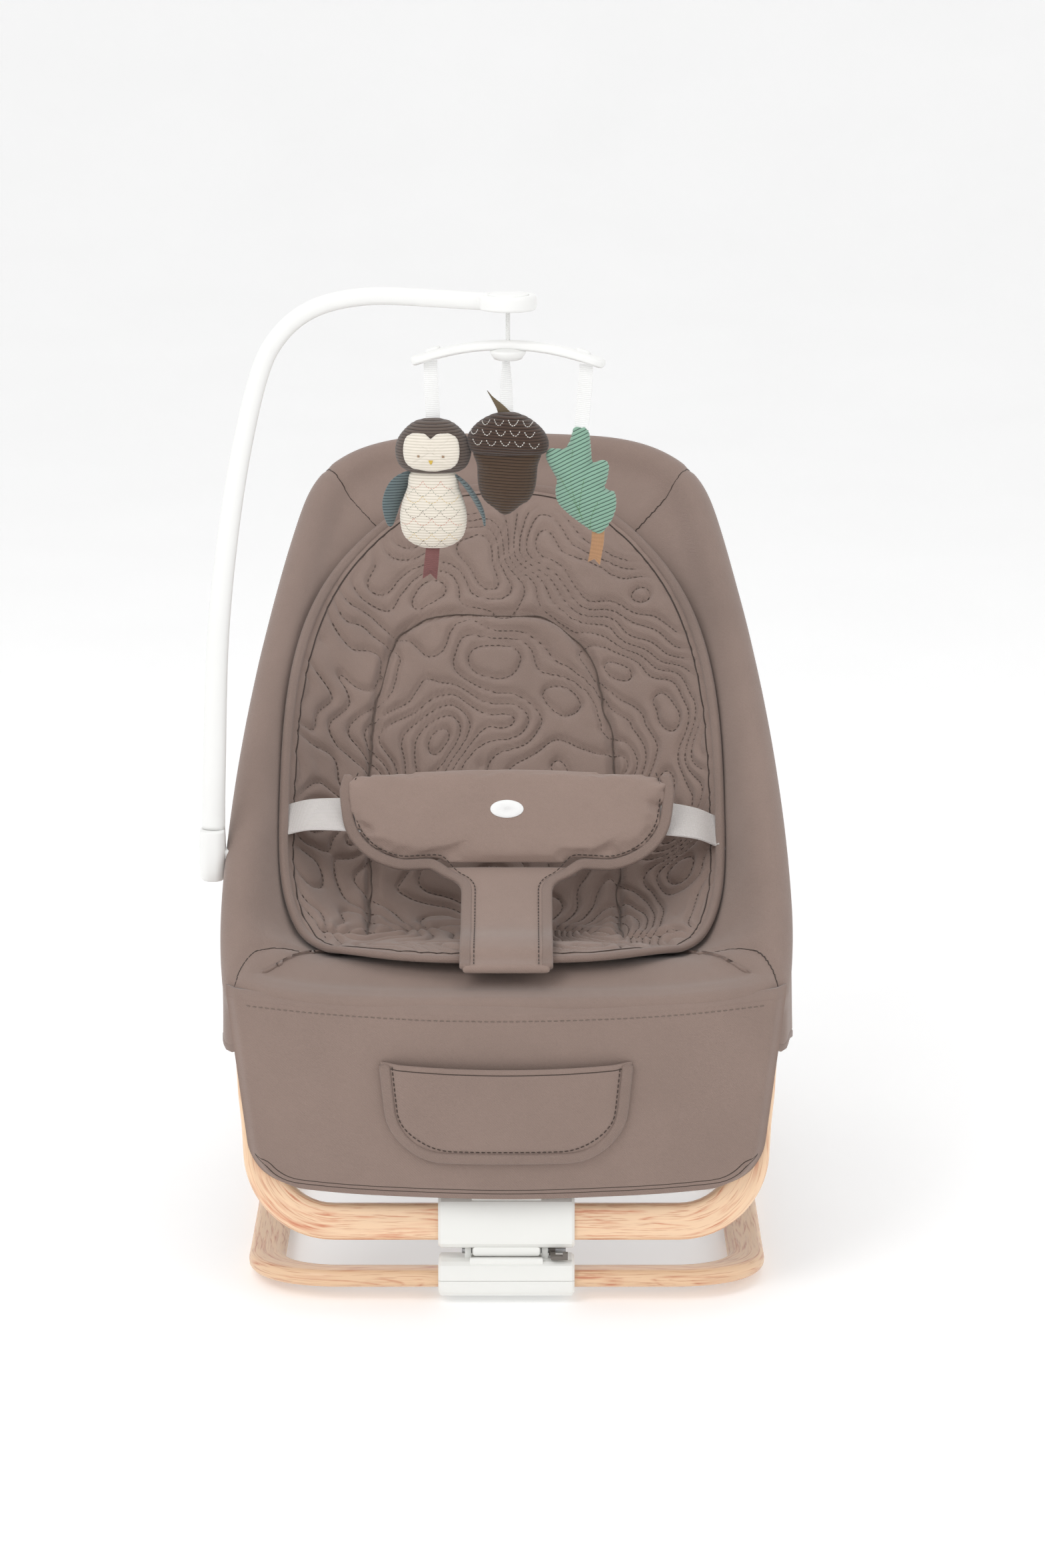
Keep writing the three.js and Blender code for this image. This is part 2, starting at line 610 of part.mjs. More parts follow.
const BOWL_INSET = 2 * RIM.roll + 2.6;
const bowlReach = (angle) => reach((p) => rimHalfWidth(p) - BOWL_INSET, SEAT.centreP,
  RIM.front + BOWL_INSET, RIM.top - BOWL_INSET, angle);

// Height of the padded bowl above the rim plane at a point of that plane.
function bowlHeight(x, p) {
  const away = Math.hypot(x, p - SEAT.centreP);
  const r = away < 1 ? 0 : Math.min(1.05, away / bowlReach(Math.atan2(p - SEAT.centreP, x)));
  const edge = BOWL.edge + rimRise(p);
  return edge + (middleDepth(p) - edge) * (1 - r ** BOWL.steep);
}

// ------------------------------------------------------------------ seat parts

// A ring around the rim: a section placed square to the outline all the way.
function rimSweep(section, inset, count, drop) {
  const flat = rimPoints(inset, count);
  const points = flat.map((q) => seatPoint(q.x, q.y, rimRise(q.y) - drop));
  const up = vec(0, -Math.sin(slope), Math.cos(slope));
  return sweepLoop(points, section, (p, along) =>
    up.clone().addScaledVector(along, -up.dot(along)).normalize());
}

const RIM_STEPS = 52;
const seatRing = (grow = 0) =>
  rimSweep(circlePoints(RIM.tube + grow, 8), RIM.roll, RIM_STEPS, RIM.roll);

add('seat_ring', seatRing(), steel);

// The padded roll wraps the ring and stays open underneath.
function rimCover() {
  const opening = 34;
  const arc = (radius, from, to, n) => range(n + 1).map((i) => {
    const a = rad(lerp(from, to, i / n));
    return [radius * Math.cos(a), radius * Math.sin(a)];
  });
  const section = [...arc(RIM.roll, -90 + opening, 270 - opening, 9),
    ...arc(RIM.tube + 1.4, 270 - opening, -90 + opening, 6)];
  return rimSweep(section, RIM.roll, RIM_STEPS, RIM.roll);
}

function bracketRoom() {
  return SIDES.map(([, s]) => box(Math.min(s * 196, s * 240), Math.max(s * 196, s * 240),
    206, 244, 300, 372));
}

const socketRoom = () => box(-245, -198, ARM.y - 9, ARM.y + 9, 319, 338);

add('rim_cover', carve([rimCover()], [...bracketRoom(), socketRoom()]), taupeFabric);

function seatBucket() {
  const outline = rimPoints(BOWL_INSET, 40);
  return roundPad(outline, 6, (r, j, side) => {
    const x = outline[j].x * r;
    const p = SEAT.centreP + (outline[j].y - SEAT.centreP) * r;
    const below = BOWL.underInsert * (1 - r ** 6) + side * BOWL.thick;
    return seatPoint(x, p, bowlHeight(x, p) - below);
  });
}

add('seat_bucket', seatBucket(), taupeFabric);

function seatInsert() {
  const outline = outlinePoints(insertHalfWidth, INSERT.centreP, INSERT.centreP - INSERT.lower,
    INSERT.centreP + INSERT.upper, 0, 36);
  return roundPad(outline, 5, (r, j, side) => {
    const x = outline[j].x * r + INSERT.centreX;
    const p = INSERT.centreP + (outline[j].y - INSERT.centreP) * r;
    const lift = INSERT.lift + (side ? 0 : INSERT.thick * (1 - 0.5 * r ** 8));
    const away = Math.hypot(x, p - SEAT.centreP);
    const q = away < 1 ? 0 : Math.min(1, away / bowlReach(Math.atan2(p - SEAT.centreP, x)));
    return seatPoint(x, p, bowlHeight(x, p) - BOWL.underInsert * (1 - q ** 6) + lift);
  });
}

add('seat_insert', seatInsert(), quiltFabric);

// Seat-side halves of the recline hubs, clamped to the ring above them.
for (const [side, s] of SIDES) {
  const rounded = (x0, x1, radius) => barX(radius, s * x0, s * x1, PIVOT.y, PIVOT.z, 28);
  const lowX = Math.min(s * PIVOT.split, s * PIVOT.outer);
  const highX = Math.max(s * PIVOT.split, s * PIVOT.outer);
  const plate = box(lowX, highX, PIVOT.y - 15, PIVOT.y + 15, PIVOT.z, 369);
  const clamp = box(Math.min(s * 201, s * 223), Math.max(s * 201, s * 223), PIVOT.y - 15,
    PIVOT.y + 15, 352, 371);
  const hub = carve([rounded(PIVOT.split, PIVOT.outer, PIVOT.radius), plate, clamp],
    [seatRing(GAP), barX(BOLT.radius + 0.15, s * 180, s * 240, PIVOT.y, PIVOT.z, 20)]);
  add(`seat_hub_${side}`, hub, whitePlastic);
  const shank = barX(BOLT.radius, s * (PIVOT.inner - 1), s * (PIVOT.outer + 1), PIVOT.y, PIVOT.z, 18);
  const head = barX(BOLT.headRadius, s * (PIVOT.outer + GAP), s * (PIVOT.outer + BOLT.headDepth),
    PIVOT.y, PIVOT.z, 18);
  add(`recline_bolt_${side}`, carve([shank, head]), steel);
}


// ----------------------------------------------------------- apron and skirts

const apronY = (x) => APRON.frontY + APRON.bow * (x / APRON.bowSpan) ** 2;
const apronSag = (x) => APRON.sag * (x / APRON.bowSpan) ** 2;

// Half-width of a panel with rounded bottom corners, at the height above its hem.
function roundedHalf(half, cornerR, above) {
  const into = Math.max(0, cornerR - above);
  return half - cornerR + Math.sqrt(Math.max(0, cornerR ** 2 - into ** 2));
}

// More rows near the hem, where the corners turn.
const hemRow = (v) => 1 - (1 - v) ** 2;

add('front_apron', sheet(14, 7, (u, v, side) => {
  const above = (1 - hemRow(v)) * (APRON.topZ - APRON.bottomZ);
  const share = above / (APRON.topZ - APRON.bottomZ);
  const x = (2 * u - 1) * roundedHalf(lerp(APRON.bottomHalf, APRON.topHalf, share),
    APRON.cornerR, above);
  return vec(x, apronY(x) + side * APRON.thick, APRON.bottomZ + above + apronSag(x));
}), taupeFabric);

function pocketBody(inset, topUp, near, far) {
  const height = POCKET.topZ - POCKET.bottomZ - inset + topUp;
  return sheet(8, 6, (u, v, side) => {
    const above = (1 - hemRow(v)) * height;
    const half = POCKET.half - inset - POCKET.taper * (1 - above / height);
    const x = (2 * u - 1) * roundedHalf(half, POCKET.cornerR - inset, above);
    return vec(x, apronY(x) - (side ? near : far), POCKET.bottomZ + inset + above + apronSag(x));
  });
}

add('apron_pocket', carve([pocketBody(0, 0, 0.4, POCKET.depth)],
  [pocketBody(POCKET.wall, 8, POCKET.wall, POCKET.depth - POCKET.wall)]), taupeFabric);

function skirtDepth(p) {
  const front = smooth((p - SKIRT.startP) / (SKIRT.deepP - SKIRT.startP));
  const back = smooth((p - SKIRT.taperP) / (SKIRT.endP - SKIRT.taperP));
  return lerp(SKIRT.frontDepth, SKIRT.sideDepth, front) * lerp(1, SKIRT.endShare, back);
}

for (const [side, s] of SIDES) {
  add(`side_skirt_${side}`, sheet(20, 3, (u, v, inner) => {
    const p = lerp(SKIRT.startP, SKIRT.endP, u);
    const top = seatPoint(s * (rimHalfWidth(p) - inner * SKIRT.thick), p,
      rimRise(p) - 2 * RIM.roll - 1);
    return top.setZ(top.z - v * skirtDepth(p));
  }), taupeFabric);
}

// ------------------------------------------------------------------ restraint

function flapPoint(u, v, side) {
  const [y0, z0] = FLAP.low;
  const [y1, z1] = FLAP.high;
  const height = Math.hypot(y1 - y0, z1 - z0);
  const above = v * height;
  const bottom = roundedHalf(FLAP.half, FLAP.bottomCorner, above);
  const top = roundedHalf(FLAP.half, FLAP.topCorner, height - above);
  const x = (2 * u - 1) * Math.min(bottom, top);
  const thick = (side - 0.5) * FLAP.thick;
  const droop = FLAP.droop * (x / FLAP.half) ** 2;
  return vec(x, lerp(y0, y1, v) + thick * (z1 - z0) / height,
    lerp(z0, z1, v) - thick * (y1 - y0) / height - droop);
}

add('waist_flap', sheet(12, 7, (u, v, side) => flapPoint(u, hemRow(v), side)), taupeFabric);

add('crotch_strap', sheet(2, 10, (u, v, side) => {
  const [y0, z0] = CROTCH.start;
  const [y1, z1] = CROTCH.end;
  const z = z0 + (z1 - z0) * v ** CROTCH.curve;
  return vec((2 * u - 1) * CROTCH.half, lerp(y0, y1, v), z + (side - 0.5) * CROTCH.thick);
}), taupeFabric);

for (const [side, s] of SIDES) {
  const inner = vec(s * (FLAP.half + 1.2), 190, 347);
  const outer = seatPoint(s * 178 + INSERT.centreX, 222, -24);
  const steep = vec(0, FLAP.high[0] - FLAP.low[0], FLAP.high[1] - FLAP.low[1]).normalize();
  const shallow = vec(0, Math.cos(slope), Math.sin(slope));
  add(`waist_strap_${side}`, sheet(5, 1, (u, v, face) => {
    const across = steep.clone().lerp(shallow, smooth(u)).normalize();
    const out = vec(0, -across.z, across.y);
    return inner.clone().lerp(outer, u).addScaledVector(across, (v - 0.5) * WEBBING.width)
      .addScaledVector(out, (0.5 - face) * WEBBING.thick);
  }), webbingFabric);
}

// ------------------------------------------------------------- recline handle

const toSeat = (geometry) => geometry.rotateX(slope).translate(0, 0, SEAT.z0);

function handleBracket() {
  const block = box(-55, 55, HANDLE.bracketP, HANDLE.backP, -50, -32);
  const slot = box(-30, 30, HANDLE.bracketP - 5, HANDLE.backP - 4, -46, -36);
  const stem = box(-16, 16, 669.5, 679.5, -40, -20);
  return carve([toSeat(block), toSeat(stem)], [toSeat(slot), seatRing(GAP)]);
}

add('handle_bracket', handleBracket(), whitePlastic);

const handleTongue = box(-HANDLE.tongue, HANDLE.tongue, HANDLE.faceP - 4, HANDLE.endP, -45.6, -36.4);
const handleGrip = barX(7.5, -HANDLE.half, HANDLE.half, HANDLE.lowP + 8, -41, 16);
add('recline_handle', toSeat(carve([handleTongue, handleGrip])), greyPlastic);

// -------------------------------------------------------------------- toy arm

const armRoute = new THREE.CatmullRomCurve3([
  [ARM.x, ARM.low], [-241, 400], [-237, 515], [-224, 625], [-204.5, 715], [-186, 753],
  [-156, 776], [-112, 785.4], [-55, 783.4], [DISC.x - DISC.radius + ARM.intoDisc, 780.6],
].map(([x, z]) => vec(x, lerp(ARM.y, ARM.topY, smooth((z - 330) / 430)), z)));

function toyArm(grow = 0) {
  const steps = 28;
  const rings = [];
  const round = circlePoints(1, 12);
  const peg = (z, radius) => ringAt(round.map(([a, b]) => [a * radius, b * radius]),
    vec(ARM.x, ARM.y, z), vec(1, 0, 0), vec(0, 1, 0));
  rings.push(peg(ARM.pegLow - grow, ARM.pegRadius + grow),
    peg(ARM.low, ARM.pegRadius + grow));
  range(steps + 1).forEach((i) => {
    const t = i / steps;
    const along = i ? armRoute.getTangentAt(t) : vec(0, 0, 1);
    const back = vec(0, 1, 0).addScaledVector(along, -along.y).normalize();
    const across = back.clone().cross(along).normalize();
    const wide = lerp(ARM.wide, ARM.tallEnd, smooth(t * 1.1)) / 2 + grow;
    const deep = lerp(ARM.deep, ARM.deepEnd, smooth(t * 1.1)) / 2 + grow;
    rings.push(ringAt(round.map(([a, b]) => [a * wide, b * deep]),
      armRoute.getPointAt(t), across, back));
  });
  return loft(rings);
}

add('toy_arm', toyArm(), whitePlastic);

function armSocket() {
  const section = roundedRect(SOCKET.wide, SOCKET.deep, 7, 3);
  const body = loft([[SOCKET.low, 0.86], [SOCKET.low + 3, 1], [SOCKET.high - 1.5, 1],
    [SOCKET.high, 0.92]].map(([z, k]) => ringAt(section.map(([a, b]) => [a * k, b * k]),
    vec(ARM.x - 1, ARM.y, z), vec(1, 0, 0), vec(0, 1, 0))));
  const tab = box(ARM.x + 4, -214, ARM.y - 7, ARM.y + 7, 321.5, 335.5);
  const bore = move(new THREE.CylinderGeometry(6.15, 6.15, 60, 24).rotateX(Math.PI / 2),
    ARM.x, ARM.y, ARM.pegLow - GAP + 30);
  return carve([body, tab], [bore, seatRing(GAP)]);
}

add('toy_arm_socket', armSocket(), whitePlastic);

function latheAt(profile, x, y, sides = 28) {
  const points = profile.map(([r, z]) => new THREE.Vector2(r, z));
  return move(new THREE.LatheGeometry(points, sides).rotateX(Math.PI / 2), x, y, 0);
}

function discHousing() {
  const r = DISC.radius;
  const body = latheAt([[0, DISC.low], [r - 2, DISC.low], [r, DISC.low + 2], [r, DISC.high - 2],
    [r - 2, DISC.high], [0, DISC.high]], DISC.x, DISC.y);
  const recess = latheAt([[0, DISC.high - 1.3], [DISC.capRadius + GAP, DISC.high - 1.3],
    [DISC.capRadius + GAP, DISC.high + 5], [0, DISC.high + 5]], DISC.x, DISC.y);
  const bore = latheAt([[0, DISC.low - 2], [3.7, DISC.low - 2], [3.7, CORD.top + 1],
    [0, CORD.top + 1]], DISC.x, DISC.y, 16);
  return carve([body], [recess, bore, toyArm(GAP)]);
}

add('arm_end_housing', discHousing(), whitePlastic);
add('arm_end_cap', latheAt([[0, DISC.high - 1], [DISC.capRadius, DISC.high - 1],
  [DISC.capRadius, DISC.high], [DISC.capRadius - 1.5, DISC.high + 0.8], [0, DISC.high + 1.2]],
DISC.x, DISC.y), whitePlastic);

// ------------------------------------------------------- hanging mobile's bar

add('hanger_cord', latheAt([[0, CORD.bottom], [CORD.radius, CORD.bottom], [CORD.radius, CORD.top],
  [0, CORD.top]], DISC.x, DISC.y, 8), cordFabric);

const barDrop = (x) => BAR.drop * (x / BAR.half) ** 2;
const barUnder = (x) => BAR.top - BAR.height - barDrop(x);

// Local mobile frame: x along the bar, turned a little about the cord.
const toMobile = (geometry) => geometry.rotateZ(rad(BAR.turn)).translate(DISC.x, DISC.y, 0);

function mobileBar() {
  const steps = 18;
  const rings = range(steps + 1).map((i) => {
    const t = (2 * i) / steps - 1;
    const x = BAR.half * t;
    const slopeHere = (-2 * BAR.drop * t) / BAR.half;
    const along = vec(1, 0, slopeHere).normalize();
    const up = vec(-along.z, 0, along.x);
    const tip = Math.sqrt(1 - Math.max(0, (Math.abs(t) - 0.86) / 0.15) ** 2);
    const depth = lerp(BAR.depth, BAR.endDepth, smooth((Math.abs(t) - 0.35) / 0.45)) * tip;
    const section = roundedRect(depth, BAR.height, 3.2, 2);
    return ringAt(section, vec(x, 0, BAR.top - BAR.height / 2 - barDrop(x)), vec(0, -1, 0), up);
  });
  const top = BAR.top - BAR.height;
  const dish = latheAt([[0, top - BAR.dishHeight], [BAR.dishFoot, top - BAR.dishHeight],
    [BAR.dishRadius, top - 2], [BAR.dishRadius - 0.6, top], [8, top + 2], [0, top + 2]], 0, 0, 24);
  const nubs = SIDES.map(([, s]) => {
    const z = BAR.top - barDrop(BAR.clip + 2);
    return box(s * BAR.clip - 6, s * BAR.clip + 6, -4, 4, z - 3, z + BAR.nubRise);
  });
  const bore = latheAt([[0, CORD.bottom - GAP], [CORD.radius + GAP, CORD.bottom - GAP],
    [CORD.radius + GAP, BAR.top + 5], [0, BAR.top + 5]], 0, 0, 16);
  return toMobile(carve([loft(rings), dish, ...nubs], [bore]));
}

add('mobile_bar', mobileBar(), whitePlastic);

// ---------------------------------------------------------------- plush pieces

// A stuffed flat shape in the XZ plane: outline(angle) gives half sizes.
function plush(centreX, centreZ, half, height, depth, power, options = {}) {
  const { turn = 0, taper = 0, y = 0, grow = 0, count = 20, rings = 3 } = options;
  const outline = range(count).map((i) => {
    const a = (2 * Math.PI * i) / count;
    const c = Math.cos(a);
    const q = Math.sin(a);
    const r = (Math.abs(c) ** power + Math.abs(q) ** power) ** (-1 / power);
    const up = r * q;
    return [r * c * (half + grow) * (1 + taper * up), up * (height + grow)];
  });
  const geometry = roundPad(outline, rings, (r, j, side) => {
    const swell = (depth / 2 + grow) * Math.sqrt(Math.max(0, 1 - r ** 2.6)) + 1;
    return vec(outline[j][0] * r, (side ? 1 : -1) * swell, outline[j][1] * r);
  });
  return geometry.rotateY(rad(turn)).translate(centreX, y, centreZ);
}

const ribbon = (x, top, bottom) => box(x - RIBBON.width / 2, x + RIBBON.width / 2,
  -RIBBON.thick / 2, RIBBON.thick / 2, bottom, top);

const endUnder = barUnder(BAR.clip + RIBBON.width / 2);
const dishUnder = BAR.top - BAR.height - BAR.dishHeight;
const toy = (name, geometry, material) => add(name, toMobile(geometry), material);

// Owl under the bar's left end.
const OWL = { x: -BAR.clip, headZ: 661.5, headHalf: 30, headHeight: 23.5, bodyZ: 608.6,
  bodyHalf: 28.5, bodyHeight: 29 };
const owlBody = (grow = 0) => plush(OWL.x, OWL.bodyZ, OWL.bodyHalf, OWL.bodyHeight, 34, 2.3, { grow });
toy('owl_ribbon', ribbon(OWL.x, endUnder - RIBBON.gap, OWL.headZ + OWL.headHeight + GAP),
  whiteRibbon);
toy('owl_head', plush(OWL.x, OWL.headZ, OWL.headHalf, OWL.headHeight, 36, 2.6), greyBrownFabric);
toy('owl_body', owlBody(), creamFabric);
for (const [side, s] of SIDES) {
  toy(`owl_wing_${side}`, carve([plush(OWL.x + s * 26, 612.5, 12, 23, 11, 2.1,
    { turn: s * 12, y: -4, count: 18, rings: 3 })], [owlBody(GAP)]), blueFabric);
}
toy('owl_tail', ribbon(OWL.x, OWL.bodyZ - OWL.bodyHeight - GAP, 555), maroonFabric);

// Acorn under the middle.
const ACORN = { capZ: 671.5, nutZ: 631 };
const acornCap = (grow = 0) => plush(0, ACORN.capZ, 31.4, 18.2, 38, 2.5, { grow });
toy('acorn_ribbon', ribbon(0, dishUnder - RIBBON.gap, 690.2), whiteRibbon);
toy('acorn_cap', acornCap(), brownFabric);
toy('acorn_nut', carve([plush(0, ACORN.nutZ, 22.8, 25, 32, 2.2, { taper: 0.0012 })],
  [acornCap(GAP)]), brownFabric);

// Leaf under the right end.
const LEAF = { x: BAR.clip, z: 635.5 };
toy('leaf_ribbon', ribbon(LEAF.x, endUnder - RIBBON.gap, 680.4), whiteRibbon);
toy('leaf_body', plush(LEAF.x, LEAF.z, 28, 44, 14, 2, { taper: 0.0015 }), greenFabric);
toy('leaf_tail', ribbon(LEAF.x + 8, 591.5, 568.5), tanFabric);

// The origin is the middle of the whole object's footprint, on the floor.
const footprint = new THREE.Box3().setFromObject(model);
const middle = footprint.getCenter(vec(0, 0, 0));
model.position.set(-middle.x, -middle.y, -footprint.min.z);

export default model;
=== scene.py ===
"""Looks for a baby bouncer seat: a padded bucket seat on two wooden loops, with a toy arm.

Points are worked out in millimetres from the floor under the hinge pin, with -Y at the front
and -X on the toy arm's side, and are turned into metres in the row frame by to_row().
"""
import math
import bmesh
import bpy
import numpy as np
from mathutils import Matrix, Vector, noise
from mathutils.bvhtree import BVHTree
from mathutils.kdtree import KDTree


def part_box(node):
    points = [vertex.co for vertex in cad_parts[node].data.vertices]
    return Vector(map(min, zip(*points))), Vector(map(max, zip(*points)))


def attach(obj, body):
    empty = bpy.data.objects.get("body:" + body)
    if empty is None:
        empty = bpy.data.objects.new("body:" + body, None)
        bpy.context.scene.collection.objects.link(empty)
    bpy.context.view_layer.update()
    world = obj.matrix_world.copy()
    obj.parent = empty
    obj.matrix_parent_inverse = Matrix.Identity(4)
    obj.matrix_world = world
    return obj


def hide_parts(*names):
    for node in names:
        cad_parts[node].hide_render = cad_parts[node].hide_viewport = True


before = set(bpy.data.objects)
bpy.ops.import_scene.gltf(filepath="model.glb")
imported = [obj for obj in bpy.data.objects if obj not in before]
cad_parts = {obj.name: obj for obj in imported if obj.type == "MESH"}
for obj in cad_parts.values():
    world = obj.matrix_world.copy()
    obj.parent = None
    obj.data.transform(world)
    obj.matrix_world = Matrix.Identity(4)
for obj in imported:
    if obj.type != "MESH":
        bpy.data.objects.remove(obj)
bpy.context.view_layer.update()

MM = 0.001
barrel_low, barrel_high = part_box("hinge_barrel")
ORIGIN = np.array([(barrel_low.x + barrel_high.x) / 2, (barrel_low.y + barrel_high.y) / 2, 0.0])

# ------------------------------------------------------------------ dimensions, mm

WOOD = {"width": 30, "thick": 14, "round": 6.2}
LOWER = {"half": 197, "front": 0, "back": 575, "corner": 62, "z": 10.5,
         "flat_from": 112, "flat_to": 440, "curve": 900}
UPPER = {"half": 197.5, "flare": 203, "lean": 78, "bar_z": 64, "corner": 58,
         "bend_from": 128, "bend": 86, "end_slope": 27, "end_gap": 31}
PIVOT = {"y": 225, "z": 295}

SLOPE = math.radians(32.5)
SEAT_Z, CENTRE_P = 250, 250
RIM = {"front": -20, "top": 690, "widest": 234, "widest_p": 115, "narrowing": 41, "span": 432,
       "top_corner": 560, "front_corner": 34, "roll": 15.5, "rise": 12, "rise_span": 80}
BOWL = {"edge": -12, "butt_p": 189, "butt_n": -113, "base": -0.69, "back": 0.238,
        "soften": 12, "steep": 4.5, "under": 16, "inset": 33.6}
INSERT = {"half": 184, "x": -4, "lower": 213, "upper": 368, "lower_power": 3.1,
          "upper_power": 2.5, "thick": 9, "lift": 5.8}
APRON = {"bottom": 90.5, "front": -27, "bow": 20, "span": 215, "top_half": 223,
         "bottom_half": 204, "thick": 5, "corner": 34, "sag": 8, "seam": 249, "seam_rise": 8}
POCKET = {"top": 205, "bottom": 124.5, "half": 102, "corner": 40, "taper": 8, "depth": 13}
SKIRT = {"start": 14, "end": 560, "front": 34, "side": 92, "deep_p": 124, "taper_p": 330,
         "end_share": 0.25}
FLAP = {"half": 140, "taper": 13, "low": (164, 317), "high": (214, 394), "corner": 50,
        "top_corner": 12, "droop": 8}
CROTCH = {"half": 36.5, "start": (32, 266), "end": (159, 311.5), "curve": 1.15,
          "clear": 6.5}


def to_row(points):
    """Local millimetres to metres in the row frame."""
    return np.asarray(points, float) * MM + ORIGIN


# ------------------------------------------------------------------ small maths

def lerp(a, b, t):
    return a + (b - a) * t


def smooth(t):
    t = np.clip(t, 0, 1)
    return t * t * (3 - 2 * t)


def unit(v):
    v = np.asarray(v, float)
    return v / np.maximum(np.linalg.norm(v, axis=-1, keepdims=True), 1e-9)


def soft_min(a, b, k):
    """The lower of two heights, rounded off where they meet."""
    return (a + b) / 2 - np.sqrt(((a - b) / 2) ** 2 + k * k) + k * 0.25


def squared(across, along):
    """Directions turned square to a path's own directions."""
    return unit(across - along * (across * along).sum(axis=1, keepdims=True))


def relaxed(line, times):
    """A line with its inner points eased towards their neighbours."""
    line = line.copy()
    for _ in range(times):
        line[1:-1] = (line[:-2] + 2 * line[1:-1] + line[2:]) / 4
    return line


def turned(normals, times):
    """Directions along a line, eased towards their neighbours."""
    for _ in range(times):
        normals[1:-1] = unit(normals[:-2] + 2 * normals[1:-1] + normals[2:])
    return normals


def rounded_half(half, corner, above):
    """Half-width of a panel with rounded corners, at a height above its edge."""
    into = np.maximum(0, corner - above)
    return half - corner + np.sqrt(np.maximum(0, corner ** 2 - into ** 2))


def superellipse(t, power):
    return (1 - np.clip(t, 0, 1) ** power) ** (1 / power)


def rounded_rect(width, height, radius, steps=5):
    """A rounded rectangle's points, anticlockwise."""
    points = []
    for sx, sy, start in ((1, 1, 0), (-1, 1, 90), (-1, -1, 180), (1, -1, 270)):
        for i in range(steps + 1):
            a = math.radians(start + 90 * i / steps)
            points.append((sx * (width / 2 - radius) + radius * math.cos(a),
                           sy * (height / 2 - radius) + radius * math.sin(a)))
    return np.array(points)


def circle(radius, count):
    a = np.linspace(0, 2 * math.pi, count, endpoint=False)
    return np.stack([radius * np.cos(a), radius * np.sin(a)], axis=1)


def spline(points, count, closed=False):
    """Evenly spaced points on a smooth curve through a few points of any dimension."""
    points = np.asarray(points, float)
    n = len(points)
    spans = n if closed else n - 1
    fine = []
    for i in range(spans):
        if closed:
            a, b, c, d = (points[(i + k) % n] for k in (-1, 0, 1, 2))
        else:
            b, c = points[i], points[i + 1]
            a = points[i - 1] if i else 2 * b - c
            d = points[i + 2] if i + 2 < n else 2 * c - b
        for t in np.linspace(0, 1, 24, endpoint=False):
            fine.append(0.5 * (2 * b + (c - a) * t + (2 * a - 5 * b + 4 * c - d) * t * t
                               + (3 * b - a - 3 * c + d) * t ** 3))
    fine.append(points[0] if closed else points[-1])
    return resample(np.array(fine), count, closed)


def resample(line, count, closed=False):
    """The same line with evenly spaced points; a closed one doesn't repeat its first."""
    steps = np.linalg.norm(np.diff(line, axis=0), axis=1)
    length = np.concatenate([[0], np.cumsum(steps)])
    at = np.linspace(0, length[-1], count, endpoint=not closed)
    return np.stack([np.interp(at, length, line[:, k]) for k in range(line.shape[1])], axis=1)


def line_length(line):
    return float(np.linalg.norm(np.diff(line, axis=0), axis=1).sum())


# ------------------------------------------------------------------ meshes

def piece(name, points, faces, material, body, stands_for=(), uvs=None, sharp=None):
    """A mesh object from local millimetres that rides on a body."""
    mesh = bpy.data.meshes.new(name)
    mesh.from_pydata(to_row(points).tolist(), [], [tuple(int(i) for i in f) for f in faces])
    if uvs is not None:
        layer = mesh.uv_layers.new(name="along")
        layer.data.foreach_set("uv", np.asarray(uvs, np.float32).ravel())
    mesh.materials.append(material)
    shade_smooth(mesh)
    mesh.update()
    obj = added(name, mesh)
    orient(obj)
    if sharp:
        mesh.set_sharp_from_angle(angle=math.radians(sharp))
    return dress(obj, body, stands_for)


def added(name, data):
    obj = bpy.data.objects.new(name, data)
    bpy.context.collection.objects.link(obj)
    return obj


def shade_smooth(mesh):
    mesh.polygons.foreach_set("use_smooth", [True] * len(mesh.polygons))


def dress(obj, body, stands_for=()):
    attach(obj, body)
    if stands_for:
        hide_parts(*stands_for)
    return obj


def orient(obj):
    bm = bmesh.new()
    bm.from_mesh(obj.data)
    bmesh.ops.recalc_face_normals(bm, faces=bm.faces)
    bm.to_mesh(obj.data)
    bm.free()


def skin(rings, closed=False):
    """Points, faces and UVs (metres along and around) of a skin over equal rings."""
    rings = np.asarray(rings, float)
    n, m = rings.shape[:2]
    along = np.concatenate([[0], np.cumsum(np.linalg.norm(
        np.diff(rings.mean(axis=1), axis=0), axis=1))]) * MM
    closing = np.linalg.norm(rings[0].mean(axis=0) - rings[-1].mean(axis=0)) * MM
    around = np.concatenate([[0], np.cumsum(np.linalg.norm(
        np.diff(np.vstack([rings[0], rings[0][:1]]), axis=0), axis=1))]) * MM
    points = rings.reshape(-1, 3)
    faces, uvs = [], []
    for i in range(n if closed else n - 1):
        k = (i + 1) % n
        u0, u1 = along[i], along[i + 1] if i + 1 < n else along[i] + closing
        for j in range(m):
            q = (j + 1) % m
            faces.append((i * m + j, i * m + q, k * m + q, k * m + j))
            uvs += [(u0, around[j]), (u0, around[j + 1]), (u1, around[j + 1]), (u1, around[j])]
    if not closed:
        faces.append(tuple(range(m - 1, -1, -1)))
        faces.append(tuple(range((n - 1) * m, n * m)))
        uvs += [(along[0], around[j]) for j in range(m - 1, -1, -1)]
        uvs += [(along[-1], around[j]) for j in range(m)]
    return points, faces, uvs


def wrapped(name, rings, material, body, stands_for=(), closed=False, sharp=None):
    """A piece skinned over equal rings."""
    points, faces, uvs = skin(rings, closed)
    return piece(name, points, faces, material, body, stands_for, uvs, sharp)


